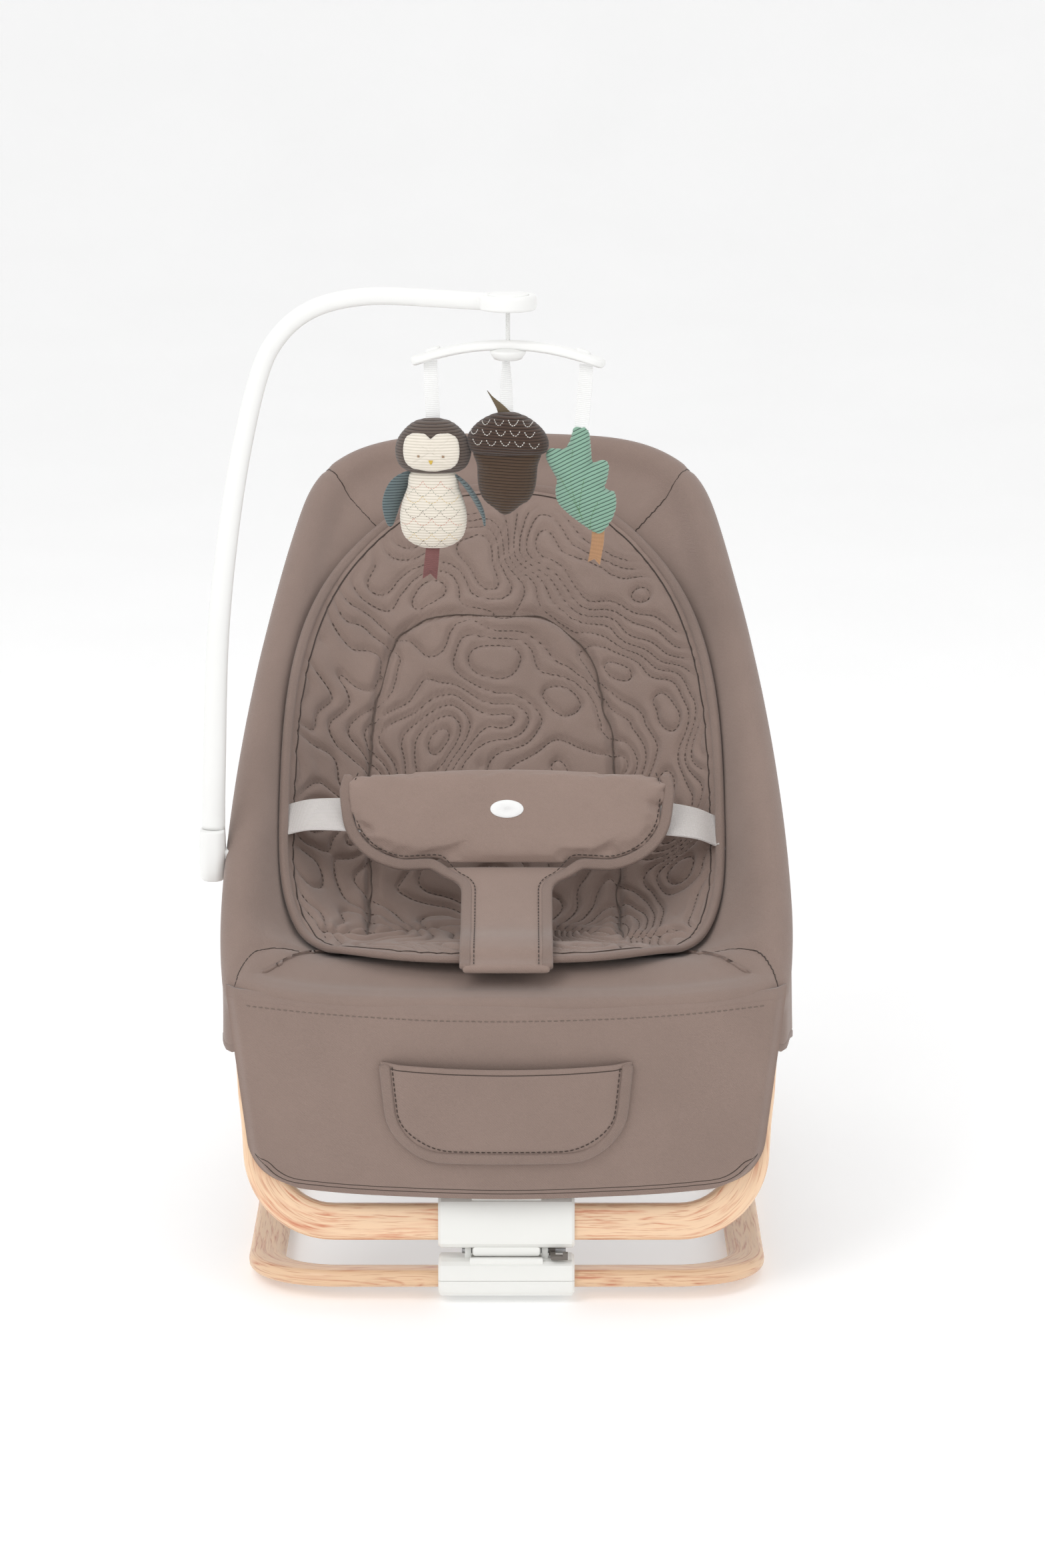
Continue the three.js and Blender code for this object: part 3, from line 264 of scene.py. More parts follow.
def frames(path, up, closed):
    """Directions out and up at each point of a path, near a wanted up."""
    if closed:
        along = unit(np.roll(path, -1, axis=0) - np.roll(path, 1, axis=0))
    else:
        along = unit(np.gradient(path, axis=0))
    up = np.broadcast_to(np.asarray(up, float), path.shape)
    up = squared(up, along)
    return np.cross(along, up), up


def sweep(path, section, up, closed=False, scale=None):
    """Rings of a section (points, 2) carried along a path."""
    out, up = frames(path, up, closed)
    section = np.broadcast_to(section, (len(path),) + np.shape(section)[-2:])
    if scale is not None:
        section = section * np.asarray(scale)[:, None, None]
    return (path[:, None] + section[..., :1] * out[:, None] + section[..., 1:] * up[:, None])


def rounded_ends(path, radius):
    """Scales that round off the two ends of a swept path."""
    at = np.concatenate([[0], np.cumsum(np.linalg.norm(np.diff(path, axis=0), axis=1))])
    near = np.minimum(at, at[-1] - at)
    return np.sqrt(np.clip(1 - (1 - np.clip(near / radius, 0, 1)) ** 2, 0.02, 1))


def grid_faces(rows, cols, wrap=False):
    faces = []
    for i in range(rows - 1):
        for j in range(cols if wrap else cols - 1):
            k = (j + 1) % cols
            faces.append((i * cols + j, i * cols + k, (i + 1) * cols + k, (i + 1) * cols + j))
    return faces


def slab(front, back):
    """Points and faces of a closed sheet from two grids (rows, cols, 3)."""
    rows, cols = front.shape[:2]
    count = rows * cols
    points = np.concatenate([front.reshape(-1, 3), back.reshape(-1, 3)])
    faces = grid_faces(rows, cols)
    faces += [tuple(i + count for i in reversed(f)) for f in faces]
    edge = ([(0, j) for j in range(cols)] + [(i, cols - 1) for i in range(1, rows)]
            + [(rows - 1, j) for j in range(cols - 2, -1, -1)]
            + [(i, 0) for i in range(rows - 2, 0, -1)])
    ids = [i * cols + j for i, j in edge]
    for a, b in zip(ids, ids[1:] + ids[:1]):
        faces.append((b, a, a + count, b + count))
    return points, faces


def lathe(profile, x, y, sides=64):
    """Points and faces of a profile (radius, z) turned about a vertical axis."""
    profile = np.asarray(profile, float)
    a = np.linspace(0, 2 * math.pi, sides, endpoint=False)
    rings = np.stack([x + profile[:, :1] * np.cos(a), y + profile[:, :1] * np.sin(a),
                      np.repeat(profile[:, 1:], sides, axis=1)], axis=-1)
    points, faces, _ = skin(rings)
    return points, faces


STITCH_FLAT = 0.7


def dashes(lines, radius, length, gap, lift=0.0):
    """Short thread stitches along lines, each line a pair of (points, normals) arrays."""
    points, faces = [], []
    corner = circle(1.0, 6)
    for line, normal in lines:
        total = line_length(line)
        count = max(1, int(total / (length + gap)))
        steps = np.concatenate([[0], np.cumsum(np.linalg.norm(np.diff(line, axis=0), axis=1))])

        def at(s):
            return np.array([np.interp(s, steps, line[:, k]) for k in range(3)])
        for c in range(count):
            start = total * c / count
            ends = np.array([at(start), at(start + length)])
            k = min(int(np.searchsorted(steps, start)), len(line) - 1)
            up = unit(normal[k])
            along = unit(ends[1] - ends[0])
            out = np.cross(along, up)
            rings = []
            for t, size in ((0, 0.35), (0.18, 1), (0.82, 1), (1, 0.35)):
                middle = lerp(ends[0], ends[1], t) + up * lift
                rings.append(middle + radius * size * (corner[:, :1] * out
                                                       + corner[:, 1:] * up * STITCH_FLAT))
            p, f, _ = skin(rings)
            faces += [tuple(i + len(points) for i in face) for face in f]
            points += list(p)
    return np.array(points), faces


def subdivide(obj):
    """One level of smooth subdivision."""
    modifier = obj.modifiers.new("smooth", "SUBSURF")
    modifier.levels = modifier.render_levels = 1
    modifier.use_limit_surface = False
    apply_modifiers(obj)


BENCH = bpy.data.scenes.new("bench")


def apply_modifiers(obj):
    """Bakes an object's modifiers in a scene of its own, where nothing else is worked out."""
    BENCH.collection.objects.link(obj)
    layer = BENCH.view_layers[0]
    layer.update()
    mesh = bpy.data.meshes.new_from_object(obj.evaluated_get(layer.depsgraph))
    BENCH.collection.objects.unlink(obj)
    obj.modifiers.clear()
    old = obj.data
    obj.data = mesh
    bpy.data.meshes.remove(old)


def refined(name, material, body, bevel=0.7, angle=28, rim=None):
    """The CAD node's own shape with its edges rounded, in place of the node."""
    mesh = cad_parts[name].data.copy()
    bm = bmesh.new()
    bm.from_mesh(mesh)
    bmesh.ops.remove_doubles(bm, verts=bm.verts, dist=2e-6)
    bmesh.ops.dissolve_limit(bm, angle_limit=math.radians(1.5), verts=bm.verts, edges=bm.edges)
    if rim:
        bmesh.ops.bevel(bm, geom=[e for e in bm.edges if e.is_manifold and rim(e)],
                        offset=HUB["corner"] * MM, segments=5, profile=0.5, affect="EDGES",
                        clamp_overlap=True)
    edges = [e for e in bm.edges if e.is_manifold and e.calc_face_angle() > math.radians(angle)]
    bmesh.ops.bevel(bm, geom=edges, offset=bevel * MM, segments=3, profile=0.5, affect="EDGES",
                    clamp_overlap=True)
    bmesh.ops.triangulate(bm, faces=[f for f in bm.faces if len(f.verts) > 4])
    bm.to_mesh(mesh)
    bm.free()
    mesh.materials.clear()
    mesh.materials.append(material)
    shade_smooth(mesh)
    mesh.set_sharp_from_angle(angle=math.radians(angle + 12))
    dress(added(name + "_shell", mesh), body, (name,))


# ------------------------------------------------------------------ materials

def node(tree, kind, inputs=None, **settings):
    """A shader node with its settings and inputs, linked where an input is a socket."""
    made = tree.nodes.new("ShaderNode" + kind)
    for key, value in settings.items():
        setattr(made, key, value)
    for key, value in (inputs or {}).items():
        if isinstance(value, bpy.types.NodeSocket):
            tree.links.new(value, made.inputs[key])
        else:
            made.inputs[key].default_value = value
    return made


def new_material(name, roughness, **sockets):
    material = bpy.data.materials.new(name)
    material.use_nodes = True
    tree = material.node_tree
    shader = tree.nodes["Principled BSDF"]
    shader.inputs["Roughness"].default_value = roughness
    for key, value in sockets.items():
        shader.inputs[key.replace("_", " ")].default_value = value
    return material, tree, shader


def feed(tree, shader, **sockets):
    """Links sockets into the shader's inputs of the same names."""
    for key, socket in sockets.items():
        tree.links.new(socket, shader.inputs[key.replace("_", " ")])


def place(tree):
    return node(tree, "TexCoord").outputs["Object"]


def grain(tree, where, scale, detail=3.0, rough=0.55, distortion=0.0):
    return node(tree, "TexNoise", {"Vector": where, "Scale": scale, "Detail": detail,
                                   "Roughness": rough, "Distortion": distortion}).outputs["Fac"]


def mix(tree, factor, a, b):
    made = node(tree, "Mix", data_type="RGBA")
    for index, value in ((0, factor), (6, a), (7, b)):
        if isinstance(value, bpy.types.NodeSocket):
            tree.links.new(value, made.inputs[index])
        else:
            made.inputs[index].default_value = value
    return made.outputs[2]


def ramp(tree, value, stops):
    made = node(tree, "ValToRGB", {"Fac": value})
    elements = made.color_ramp.elements
    while len(elements) < len(stops):
        elements.new(0.5)
    for element, (at, shade) in zip(elements, stops):
        element.position = at
        element.color = shade if hasattr(shade, "__len__") else (shade, shade, shade, 1)
    return made.outputs["Color"]


def bump(tree, height, distance, strength):
    return node(tree, "Bump", {"Height": height, "Distance": distance,
                               "Strength": strength}).outputs["Normal"]


def maths(tree, operation, a, b=0.0):
    return node(tree, "Math", {0: a, 1: b}, operation=operation).outputs[0]


def plus(tree, a, b):
    return maths(tree, "ADD", a, b)


def times(tree, a, b):
    return maths(tree, "MULTIPLY", a, b)


def shade(colour, factor):
    return tuple(min(1.0, c * factor) for c in colour[:3]) + (1.0,)


def srgb(r, g, b):
    """Linear colour from 8-bit sRGB values."""
    def linear(c):
        c /= 255
        return c / 12.92 if c <= 0.04045 else ((c + 0.055) / 1.055) ** 2.4
    return (linear(r), linear(g), linear(b), 1.0)


def cloth(name, colour, rough=0.85, sheen=0.25, fleck=0.1, knit=1.0):
    """Fine jersey bonded to foam: tiny fleck in the colour and a soft knitted bump."""
    material, tree, shader = new_material(name, rough, Sheen_Weight=sheen, Sheen_Roughness=0.45,
                                          Specular_IOR_Level=0.25)
    where = place(tree)
    fine = grain(tree, where, 1500.0, 2.0)
    broad = grain(tree, where, 14.0, 3.0)
    both = plus(tree, times(tree, fine, 0.6),
                 times(tree, broad, 0.4))
    tint = ramp(tree, both, [(0.3, shade(colour, 1 - fleck)), (0.7, shade(colour, 1 + fleck))])
    feed(tree, shader, Base_Color=tint)
    rows = node(tree, "TexWave", {"Vector": where, "Scale": 300.0, "Distortion": 3.0,
                                  "Detail": 2.0, "Detail Scale": 4.0},
                bands_direction="DIAGONAL").outputs["Fac"]
    relief = plus(tree, times(tree, rows, 0.35), fine)
    feed(tree, shader, Normal=bump(tree, relief, 0.0004 * knit, 0.55))
    return material


def tape(name, colour, ribs_per_m, along=True, depth=0.0003, rough=0.7):
    """Woven tape or ribbon: ribs across or along its length, from its UVs."""
    material, tree, shader = new_material(name, rough, Sheen_Weight=0.2, Specular_IOR_Level=0.3)
    uv = node(tree, "UVMap", uv_map="along").outputs["UV"]
    split = node(tree, "SeparateXYZ", {"Vector": uv})
    run = split.outputs["X" if along else "Y"]
    cross = split.outputs["Y" if along else "X"]
    rib = maths(tree, "SINE", times(tree, run, 2 * math.pi * ribs_per_m))
    thread = maths(tree, "SINE", times(tree, cross, 2 * math.pi * ribs_per_m * 1.6))
    relief = plus(tree, rib, times(tree, thread, 0.3))
    # The tint follows the ribs' relief: the rib valleys are painted darker, as painted shade
    # between the ribs.
    tone = plus(tree, times(tree, relief, 0.3), 0.5)
    tint = ramp(tree, tone, [(0.1, shade(colour, 0.86)), (0.9, colour)])
    feed(tree, shader, Base_Color=tint)
    feed(tree, shader, Normal=bump(tree, relief, depth, 0.7))
    return material


def timber(name, pale, streak, offset):
    """Pale oak veneer with fine broken streaks and a few arches, along the piece's UVs."""
    material, tree, shader = new_material(name, 0.4, Coat_Weight=0.15, Coat_Roughness=0.25)
    uv = node(tree, "UVMap", uv_map="along").outputs["UV"]

    def stretched(along, across, shift, detail, rough, twist=0.0):
        where = node(tree, "Mapping", {"Vector": uv, "Location": (offset + shift, shift, 0),
                                       "Scale": (along, across, 1.0)}).outputs["Vector"]
        return grain(tree, where, 1.0, detail, rough, twist)
    figure = stretched(3.0, 22.0, 0.7, 2.0, 0.5, 0.8)
    rings = maths(tree, "FRACT", times(tree, figure, 14.0))
    line = ramp(tree, rings, [(0.0, 1.0), (0.1, 0.5), (0.3, 0.0), (0.8, 0.0), (1.0, 1.0)])
    broken = ramp(tree, stretched(26.0, 420.0, 0.2, 3.0, 0.6), [(0.42, 0.0), (0.62, 1.0)])
    fibre = stretched(14.0, 300.0, 0.3, 5.0, 0.65, 0.2)
    flecks = ramp(tree, stretched(38.0, 900.0, 0.5, 2.0, 0.5), [(0.57, 0.0), (0.66, 1.0)])
    base = mix(tree, fibre, shade(pale, 0.9), shade(pale, 1.1))
    ringed = mix(tree, times(tree, line, times(tree, broken, 0.85)),
                 base, streak)
    final = mix(tree, times(tree, flecks, 0.45), ringed, shade(streak, 0.85))
    feed(tree, shader, Base_Color=final)
    relief = plus(tree, fibre, times(tree, flecks, -0.8))
    feed(tree, shader, Normal=bump(tree, relief, 0.00018, 0.5))
    gloss = ramp(tree, fibre, [(0.3, 0.32), (0.75, 0.48)])
    feed(tree, shader, Roughness=gloss)
    return material


def plastic(name, colour, rough, texture=1.0, metallic=0.0):
    """Moulded plastic or metal with a fine surface texture and slightly uneven gloss."""
    material, tree, shader = new_material(name, rough, Specular_IOR_Level=0.4,
                                          Metallic=metallic)
    where = place(tree)
    cloud = grain(tree, where, 9.0, 3.0)
    tint = ramp(tree, cloud, [(0.3, shade(colour, 0.975)), (0.7, colour)])
    feed(tree, shader, Base_Color=tint)
    gloss = ramp(tree, grain(tree, where, 35.0, 4.0), [(0.3, rough * 0.88), (0.7, rough * 1.12)])
    feed(tree, shader, Roughness=gloss)
    fine = grain(tree, where, 2200.0, 2.0)
    feed(tree, shader, Normal=bump(tree, fine, 0.00005 * texture, 0.6))
    return material


TAUPE = srgb(141, 122, 113)
taupe = cloth("taupe_jersey", TAUPE)
taupe_trim = cloth("taupe_binding", shade(TAUPE, 0.93), fleck=0.13, knit=1.4)
# The same jersey painted 14% lighter, for the flap pad and crotch strap: painted light from above,
# not a cloth of its own.
taupe_painted_light = cloth("taupe_jersey_painted_lighter", shade(TAUPE, 1.14))
taupe_quilt = cloth("taupe_quilting", shade(TAUPE, 1.03), rough=0.9, fleck=0.12, knit=1.2)
seam_thread = cloth("dark_thread", srgb(70, 58, 52), fleck=0.05)
pale_thread = cloth("taupe_thread", srgb(118, 103, 94), fleck=0.05)
quilt_thread = cloth("quilting_thread", srgb(96, 82, 74), fleck=0.05)
wood_lower = timber("oak_lower", srgb(232, 196, 160), srgb(190, 108, 76), 0.0)
wood_upper = timber("oak_upper", srgb(243, 208, 173), srgb(204, 118, 82), 2.4)
white = plastic("white_moulding", srgb(243, 243, 241), 0.34)
warm_white = plastic("hub_moulding", srgb(240, 240, 236), 0.4)
grey = plastic("grey_moulding", srgb(112, 106, 100), 0.5)
steel = plastic("zinc_steel", srgb(170, 170, 172), 0.35, metallic=1.0)
rubber = plastic("dark_rubber", srgb(62, 60, 58), 0.85, 4.0)
webbing = tape("grey_webbing", srgb(222, 216, 213), 700, along=False)
white_ribbon = tape("white_grosgrain", srgb(250, 250, 249), 620, depth=0.00012)
braid = cloth("white_braid", srgb(236, 236, 234), 0.8, 0.2, 0.06, 2.0)

# ------------------------------------------------------------------ wooden loops


def lower_height(y):
    over = np.maximum(np.maximum(LOWER["flat_from"] - y, y - LOWER["flat_to"]), 0)
    return LOWER["z"] + LOWER["curve"] - np.sqrt(LOWER["curve"] ** 2 - over ** 2)


def lower_path():
    half, y0, y1, c = LOWER["half"], LOWER["front"], LOWER["back"], LOWER["corner"]
    rim = rounded_rect(2 * half, y1 - y0, c, 24) + np.array([0, (y0 + y1) / 2])
    loop = np.vstack([rim, rim[:1]])
    flat = resample(loop, 320, closed=True)
    return np.column_stack([flat, lower_height(flat[:, 1])])


def rail_point_list(side):
    """The upper loop's half: from the middle of the front bar up to the hub."""
    lean = math.radians(UPPER["lean"])
    c = UPPER["corner"]

    def along(t):
        return np.array([t * math.cos(lean), UPPER["bar_z"] + t * math.sin(lean)])
    points = [(0, *along(0)), (side * 60, *along(0)), (side * (UPPER["half"] - c - 20), *along(0))]
    for i in range(13):
        a = math.radians(-90 + 7.5 * i)
        points.append((side * (UPPER["half"] - c + c * math.cos(a)), *along(c + c * math.sin(a))))
    for i in range(1, 4):
        flare = lerp(UPPER["half"], UPPER["flare"], float(smooth(i / 3)))
        points.append((side * flare, *along(lerp(c, UPPER["bend_from"], i / 3))))
    start = along(UPPER["bend_from"])
    turn = UPPER["lean"] - UPPER["end_slope"]
    for i in range(1, 13):
        a = math.radians(UPPER["lean"] - turn * i / 12)
        points.append((side * UPPER["flare"],
                       start[0] + UPPER["bend"] * (math.sin(lean) - math.sin(a)),
                       start[1] + UPPER["bend"] * (math.cos(a) - math.cos(lean))))
    last = np.array(points[-1])
    hub = np.array([side * UPPER["flare"], PIVOT["y"], PIVOT["z"]])
    points.append(last + (hub - last) * (1 - UPPER["end_gap"] / np.linalg.norm(hub - last)))
    return [np.array(p, float) for p in points]


def upper_path():
    left = rail_point_list(-1)[::-1]
    return resample(np.array(left[:-1] + rail_point_list(1)), 260)


def build_loops():
    section = rounded_rect(WOOD["width"], WOOD["thick"], WOOD["round"], 5)
    path = lower_path()
    over = (np.minimum(path[:, 1] - LOWER["flat_from"], 0)
            + np.maximum(path[:, 1] - LOWER["flat_to"], 0))
    up = unit(np.stack([0 * over, -over / LOWER["curve"], 1 + 0 * over], axis=1))
    wrapped("wood_lower_loop", sweep(path, section, up, closed=True), wood_lower, "base",
            ("lower_loop",), closed=True)

    path = upper_path()
    lean = math.radians(UPPER["lean"])
    out = np.array([0, -math.sin(lean), math.cos(lean)])
    along = unit(np.gradient(path, axis=0))
    climb = np.hypot(along[:, 1], along[:, 2])[:, None]
    normal = np.stack([0 * along[:, 0], -along[:, 2], along[:, 1]], axis=1)
    normal = normal * np.sign(np.where(along[:, 2:] == 0, 1, along[:, 2:]))
    face = unit(lerp(unit(normal), out, np.abs(along[:, :1])) * (climb > 1e-4)
                + out * (climb <= 1e-4))
    wrapped("wood_upper_loop", sweep(path, section, face), wood_upper, "upper_frame",
            ("upper_loop",), sharp=60)


build_loops()

# ------------------------------------------------------------------ hub and fittings

# "upper" and "lower" hold each sleeve's middle (y, z), tilt in degrees, and half depth and height.
HUB = {"end": 55, "corner": 2.8, "ease": 0.45, "upper": (0, 64, 78, 12, 21),
       "lower": (0, 19, 7, 21, 15)}


def sleeve_rim(middle_y, middle_z, tilt, deep, high):
    """Picks the outer edges of a sleeve's two ends, but not those along its split."""
    a = math.radians(tilt)
    if deep < high:
        up, out = np.array([0, math.cos(a), math.sin(a)]), np.array([0, -math.sin(a), math.cos(a)])
    else:
        up, out = np.array([0, math.sin(a), math.cos(a)]), np.array([0, math.cos(a), -math.sin(a)])
    split = out if deep < high else up

    def chosen(edge):
        ends = [(np.array(v.co) - ORIGIN) / MM - [0, middle_y, middle_z] for v in edge.verts]
        if any(abs(abs(q[0]) - HUB["end"]) > 0.1 for q in ends):
            return False
        mid = (ends[0] + ends[1]) / 2
        if abs(mid @ split) < 1.5:
            return False
        return abs(mid @ up) > high - 3.5 or abs(mid @ out) > deep - 3.5
    return chosen


for name, body, shape in (("upper_sleeve_front", "upper_frame", "upper"),
                          ("upper_sleeve_rear", "upper_frame", "upper"),
                          ("lower_sleeve_top", "base", "lower"),
                          ("lower_sleeve_bottom", "base", "lower")):
    refined(name, warm_white, body, 0.9, rim=sleeve_rim(*HUB[shape]))


def moulded(name, low, high, corner, body):
    """A small block with rounded corners seen from the front and eased front and back edges."""
    (x0, y0, z0), (x1, y1, z1) = low, high
    ease = HUB["ease"]
    rings = []
    for y, inset in ((y0, ease), (y0 + ease * 0.4, ease * 0.3), (y0 + ease, 0), (y1 - ease, 0),
                     (y1 - ease * 0.4, ease * 0.3), (y1, ease)):
        flat = rounded_rect(x1 - x0 - 2 * inset, z1 - z0 - 2 * inset, corner - inset, 6)
        rings.append(np.column_stack([flat[:, 0] + (x0 + x1) / 2, 0 * flat[:, 0] + y,
                                      flat[:, 1] + (z0 + z1) / 2]))
    wrapped(name, rings, warm_white, body)


moulded("hub_tongue", (-27, -12.4, 38.6), (27, -9.4, 46), 2.2, "upper_frame")
moulded("hub_bridge", (-29.5, -17.2, 32), (29.5, -13.3, 38.2), 1.2, "base")
moulded("hub_crown", (-28, -6, 80), (28, 8, 87.6), 0.9, "upper_frame")
for s in (-1, 1):
    moulded("hub_dome_" + ("left" if s < 0 else "right"), (s * 40 - 7, -4, 76),
            (s * 40 + 7, 6, 86.9), 3.5, "upper_frame")
for side in ("left", "right"):
    refined("rail_hub_" + side, white, "upper_frame")
    refined("seat_hub_" + side, white, "seat")
    refined("recline_bolt_" + side, steel, "seat", 0.5)
    refined("upper_sleeve_screw_" + side, steel, "upper_frame", 0.3)
    refined("bounce_spring_" + side, steel, "spring_link", 0.1)
    for end in ("front", "rear"):
        refined("foot_pad_%s_%s" % (end, side), rubber, "base", 0.6)
refined("hinge_barrel", warm_white, "spring_link", 0.5)
refined("hinge_pin", steel, "spring_link", 0.4)
refined("fold_latch", grey, "latch", 0.5)
refined("handle_bracket", white, "seat", 0.9)
refined("recline_handle", grey, "recline_handle", 0.9)
refined("seat_ring", steel, "seat", 0.2, 60)

# ------------------------------------------------------------------ the seat's shape


def seat_point(x, p, n):
    """A point at x, p up the rim plane and n above it."""
    x, p, n = np.broadcast_arrays(x, p, n)
    return np.stack([x, p * math.cos(SLOPE) - n * math.sin(SLOPE),
                     SEAT_Z + p * math.sin(SLOPE) + n * math.cos(SLOPE)], axis=-1).astype(float)


SEAT_UP = np.array([0, -math.sin(SLOPE), math.cos(SLOPE)])


def rim_half(p):
    before = RIM["widest"] - 9 * ((RIM["widest_p"] - p) / RIM["widest_p"]) ** 2
    after = RIM["widest"] - RIM["narrowing"] * (
        np.maximum(p - RIM["widest_p"], 0) / RIM["span"]) ** 1.8
    top = superellipse((p - RIM["top_corner"]) / (RIM["top"] - RIM["top_corner"]), 3.5)
    front = superellipse((RIM["front_corner"] - p) / (RIM["front_corner"] - RIM["front"]), 3.2)
    return np.where(p < RIM["widest_p"], before, after) * top * front


def rim_rise(p):
    return RIM["rise"] * np.maximum(0, (RIM["front"] + RIM["rise_span"] - p)
                                    / RIM["rise_span"]) ** 2


def insert_half(p):
    above = superellipse((p - CENTRE_P) / INSERT["upper"], INSERT["upper_power"])
    below = superellipse((CENTRE_P - p) / INSERT["lower"], INSERT["lower_power"])
    return INSERT["half"] * above * below


def reach(half, low, high, angle):
    """Distance from the seat's centre to an outline, for an array of angles."""
    near, far = np.zeros_like(angle), np.full_like(angle, 800.0)
    for _ in range(40):
        t = (near + far) / 2
        p = CENTRE_P + t * np.sin(angle)
        fits = (p > low) & (p < high) & (np.abs(t * np.cos(angle)) < half(p))
        near, far = np.where(fits, t, near), np.where(fits, far, t)
    return near


def outline(half, low, high, inset, count):
    """Evenly spaced (x, p) points round an outline, from its lowest point."""
    angle = np.linspace(0, 2 * math.pi, 1440, endpoint=False) - math.pi / 2
    t = reach(half, low, high, angle)
    line = np.stack([t * np.cos(angle), CENTRE_P + t * np.sin(angle)], axis=1)
    along = unit(np.roll(line, -6, axis=0) - np.roll(line, 6, axis=0))
    moved = line + inset * np.stack([-along[:, 1], along[:, 0]], axis=1)
    return resample(np.vstack([moved, moved[:1]]), count, closed=True)


def rim_outline(inset, count):
    return outline(rim_half, RIM["front"], RIM["top"], inset, count)


def rim_edge(count):
    """Points (x, p) round the rim's outer edge, with directions straight out from it."""
    edge = rim_outline(0, count)
    along = unit(np.roll(edge, -1, axis=0) - np.roll(edge, 1, axis=0))
    return edge, np.stack([along[:, 1], -along[:, 0]], axis=1)


BOWL_ANGLES = np.linspace(-math.pi, math.pi, 2881)
BOWL_REACH = reach(lambda p: rim_half(p) - BOWL["inset"], RIM["front"] + BOWL["inset"],
                   RIM["top"] - BOWL["inset"], BOWL_ANGLES)


def bowl_share(x, p):
    """How far a point is from the bowl's centre, as a share of the way to its edge."""
    away = np.hypot(x, p - CENTRE_P)
    return away / np.interp(np.arctan2(p - CENTRE_P, x), BOWL_ANGLES, BOWL_REACH)


def middle_depth(p):
    base = BOWL["butt_n"] + BOWL["base"] * (p - BOWL["butt_p"])
    back = BOWL["butt_n"] + BOWL["back"] * (p - BOWL["butt_p"])
    return (base + back) / 2 + np.hypot((base - back) / 2, BOWL["soften"])


def bowl_height(x, p):
    r = np.minimum(bowl_share(x, p), 1)
    edge = BOWL["edge"] + rim_rise(p)
    return edge + (middle_depth(p) - edge) * (1 - r ** BOWL["steep"])


def skirt_depth(p):
    front = smooth((p - SKIRT["start"]) / (SKIRT["deep_p"] - SKIRT["start"]))
    back = smooth((p - SKIRT["taper_p"]) / (SKIRT["end"] - SKIRT["taper_p"]))
    return lerp(SKIRT["front"], SKIRT["side"], front) * lerp(1, SKIRT["end_share"], back)


def wobble(points, size, amount, seed):
    """Soft unevenness of stuffed cloth, the same on every run."""
    where = np.asarray(points) / size + seed
    return amount * np.array([noise.noise(Vector(w)) for w in where])


def nearest_line(points, lines):
    """Distance from each point to a set of dense lines."""
    cloud = np.concatenate(lines)
    tree = KDTree(len(cloud))
    for i, q in enumerate(cloud):
        tree.insert(q, i)
    tree.balance()
    return np.array([tree.find(q)[2] for q in points])


def surface_of(points, faces):
    return BVHTree.FromPolygons([tuple(q) for q in points], [tuple(f) for f in faces])


def lay(surface, line):
    """A line moved onto the nearest surface, with the surface's normals."""
    placed, normals = [], []
    for q in line:
        spot, normal, _, _ = surface.find_nearest(Vector(q))
        placed.append(np.array(spot))
        normals.append(np.array(normal))
    normals = np.array(normals)
    outward = np.sign((normals * np.array([0, -0.6, 0.8])).sum(axis=1))
    side = np.where(outward == 0, 1, outward)[:, None]
    return np.array(placed), normals * side

# ------------------------------------------------------------------ seat cover

COVER = {"around": 400, "shoulder": 95, "round": 6, "layer": 2.6, "lip_bulge": 3, "front_drop": 8,
         "front_lift": 14}


def front_lift(p):
    """The padding that brings the seat's front edge up towards the lip."""
    return COVER["front_lift"] * smooth((112 - p) / 64)


def cover_height(x, p, inset):
    """The stretched cover: over the rim's roll, then sloping into the bowl."""
    over = np.clip(inset - RIM["roll"], 0, 20)
    shoulder = rim_rise(p) - over ** 2 / COVER["shoulder"]
    share = np.minimum(bowl_share(x, p), 1)
    bowl = bowl_height(x, p) - BOWL["under"] * (1 - share ** 6) + front_lift(p)
    climb = 1.6 * np.maximum(BOWL["inset"] - inset, 0)
    return soft_min(shoulder, bowl + climb, COVER["round"])


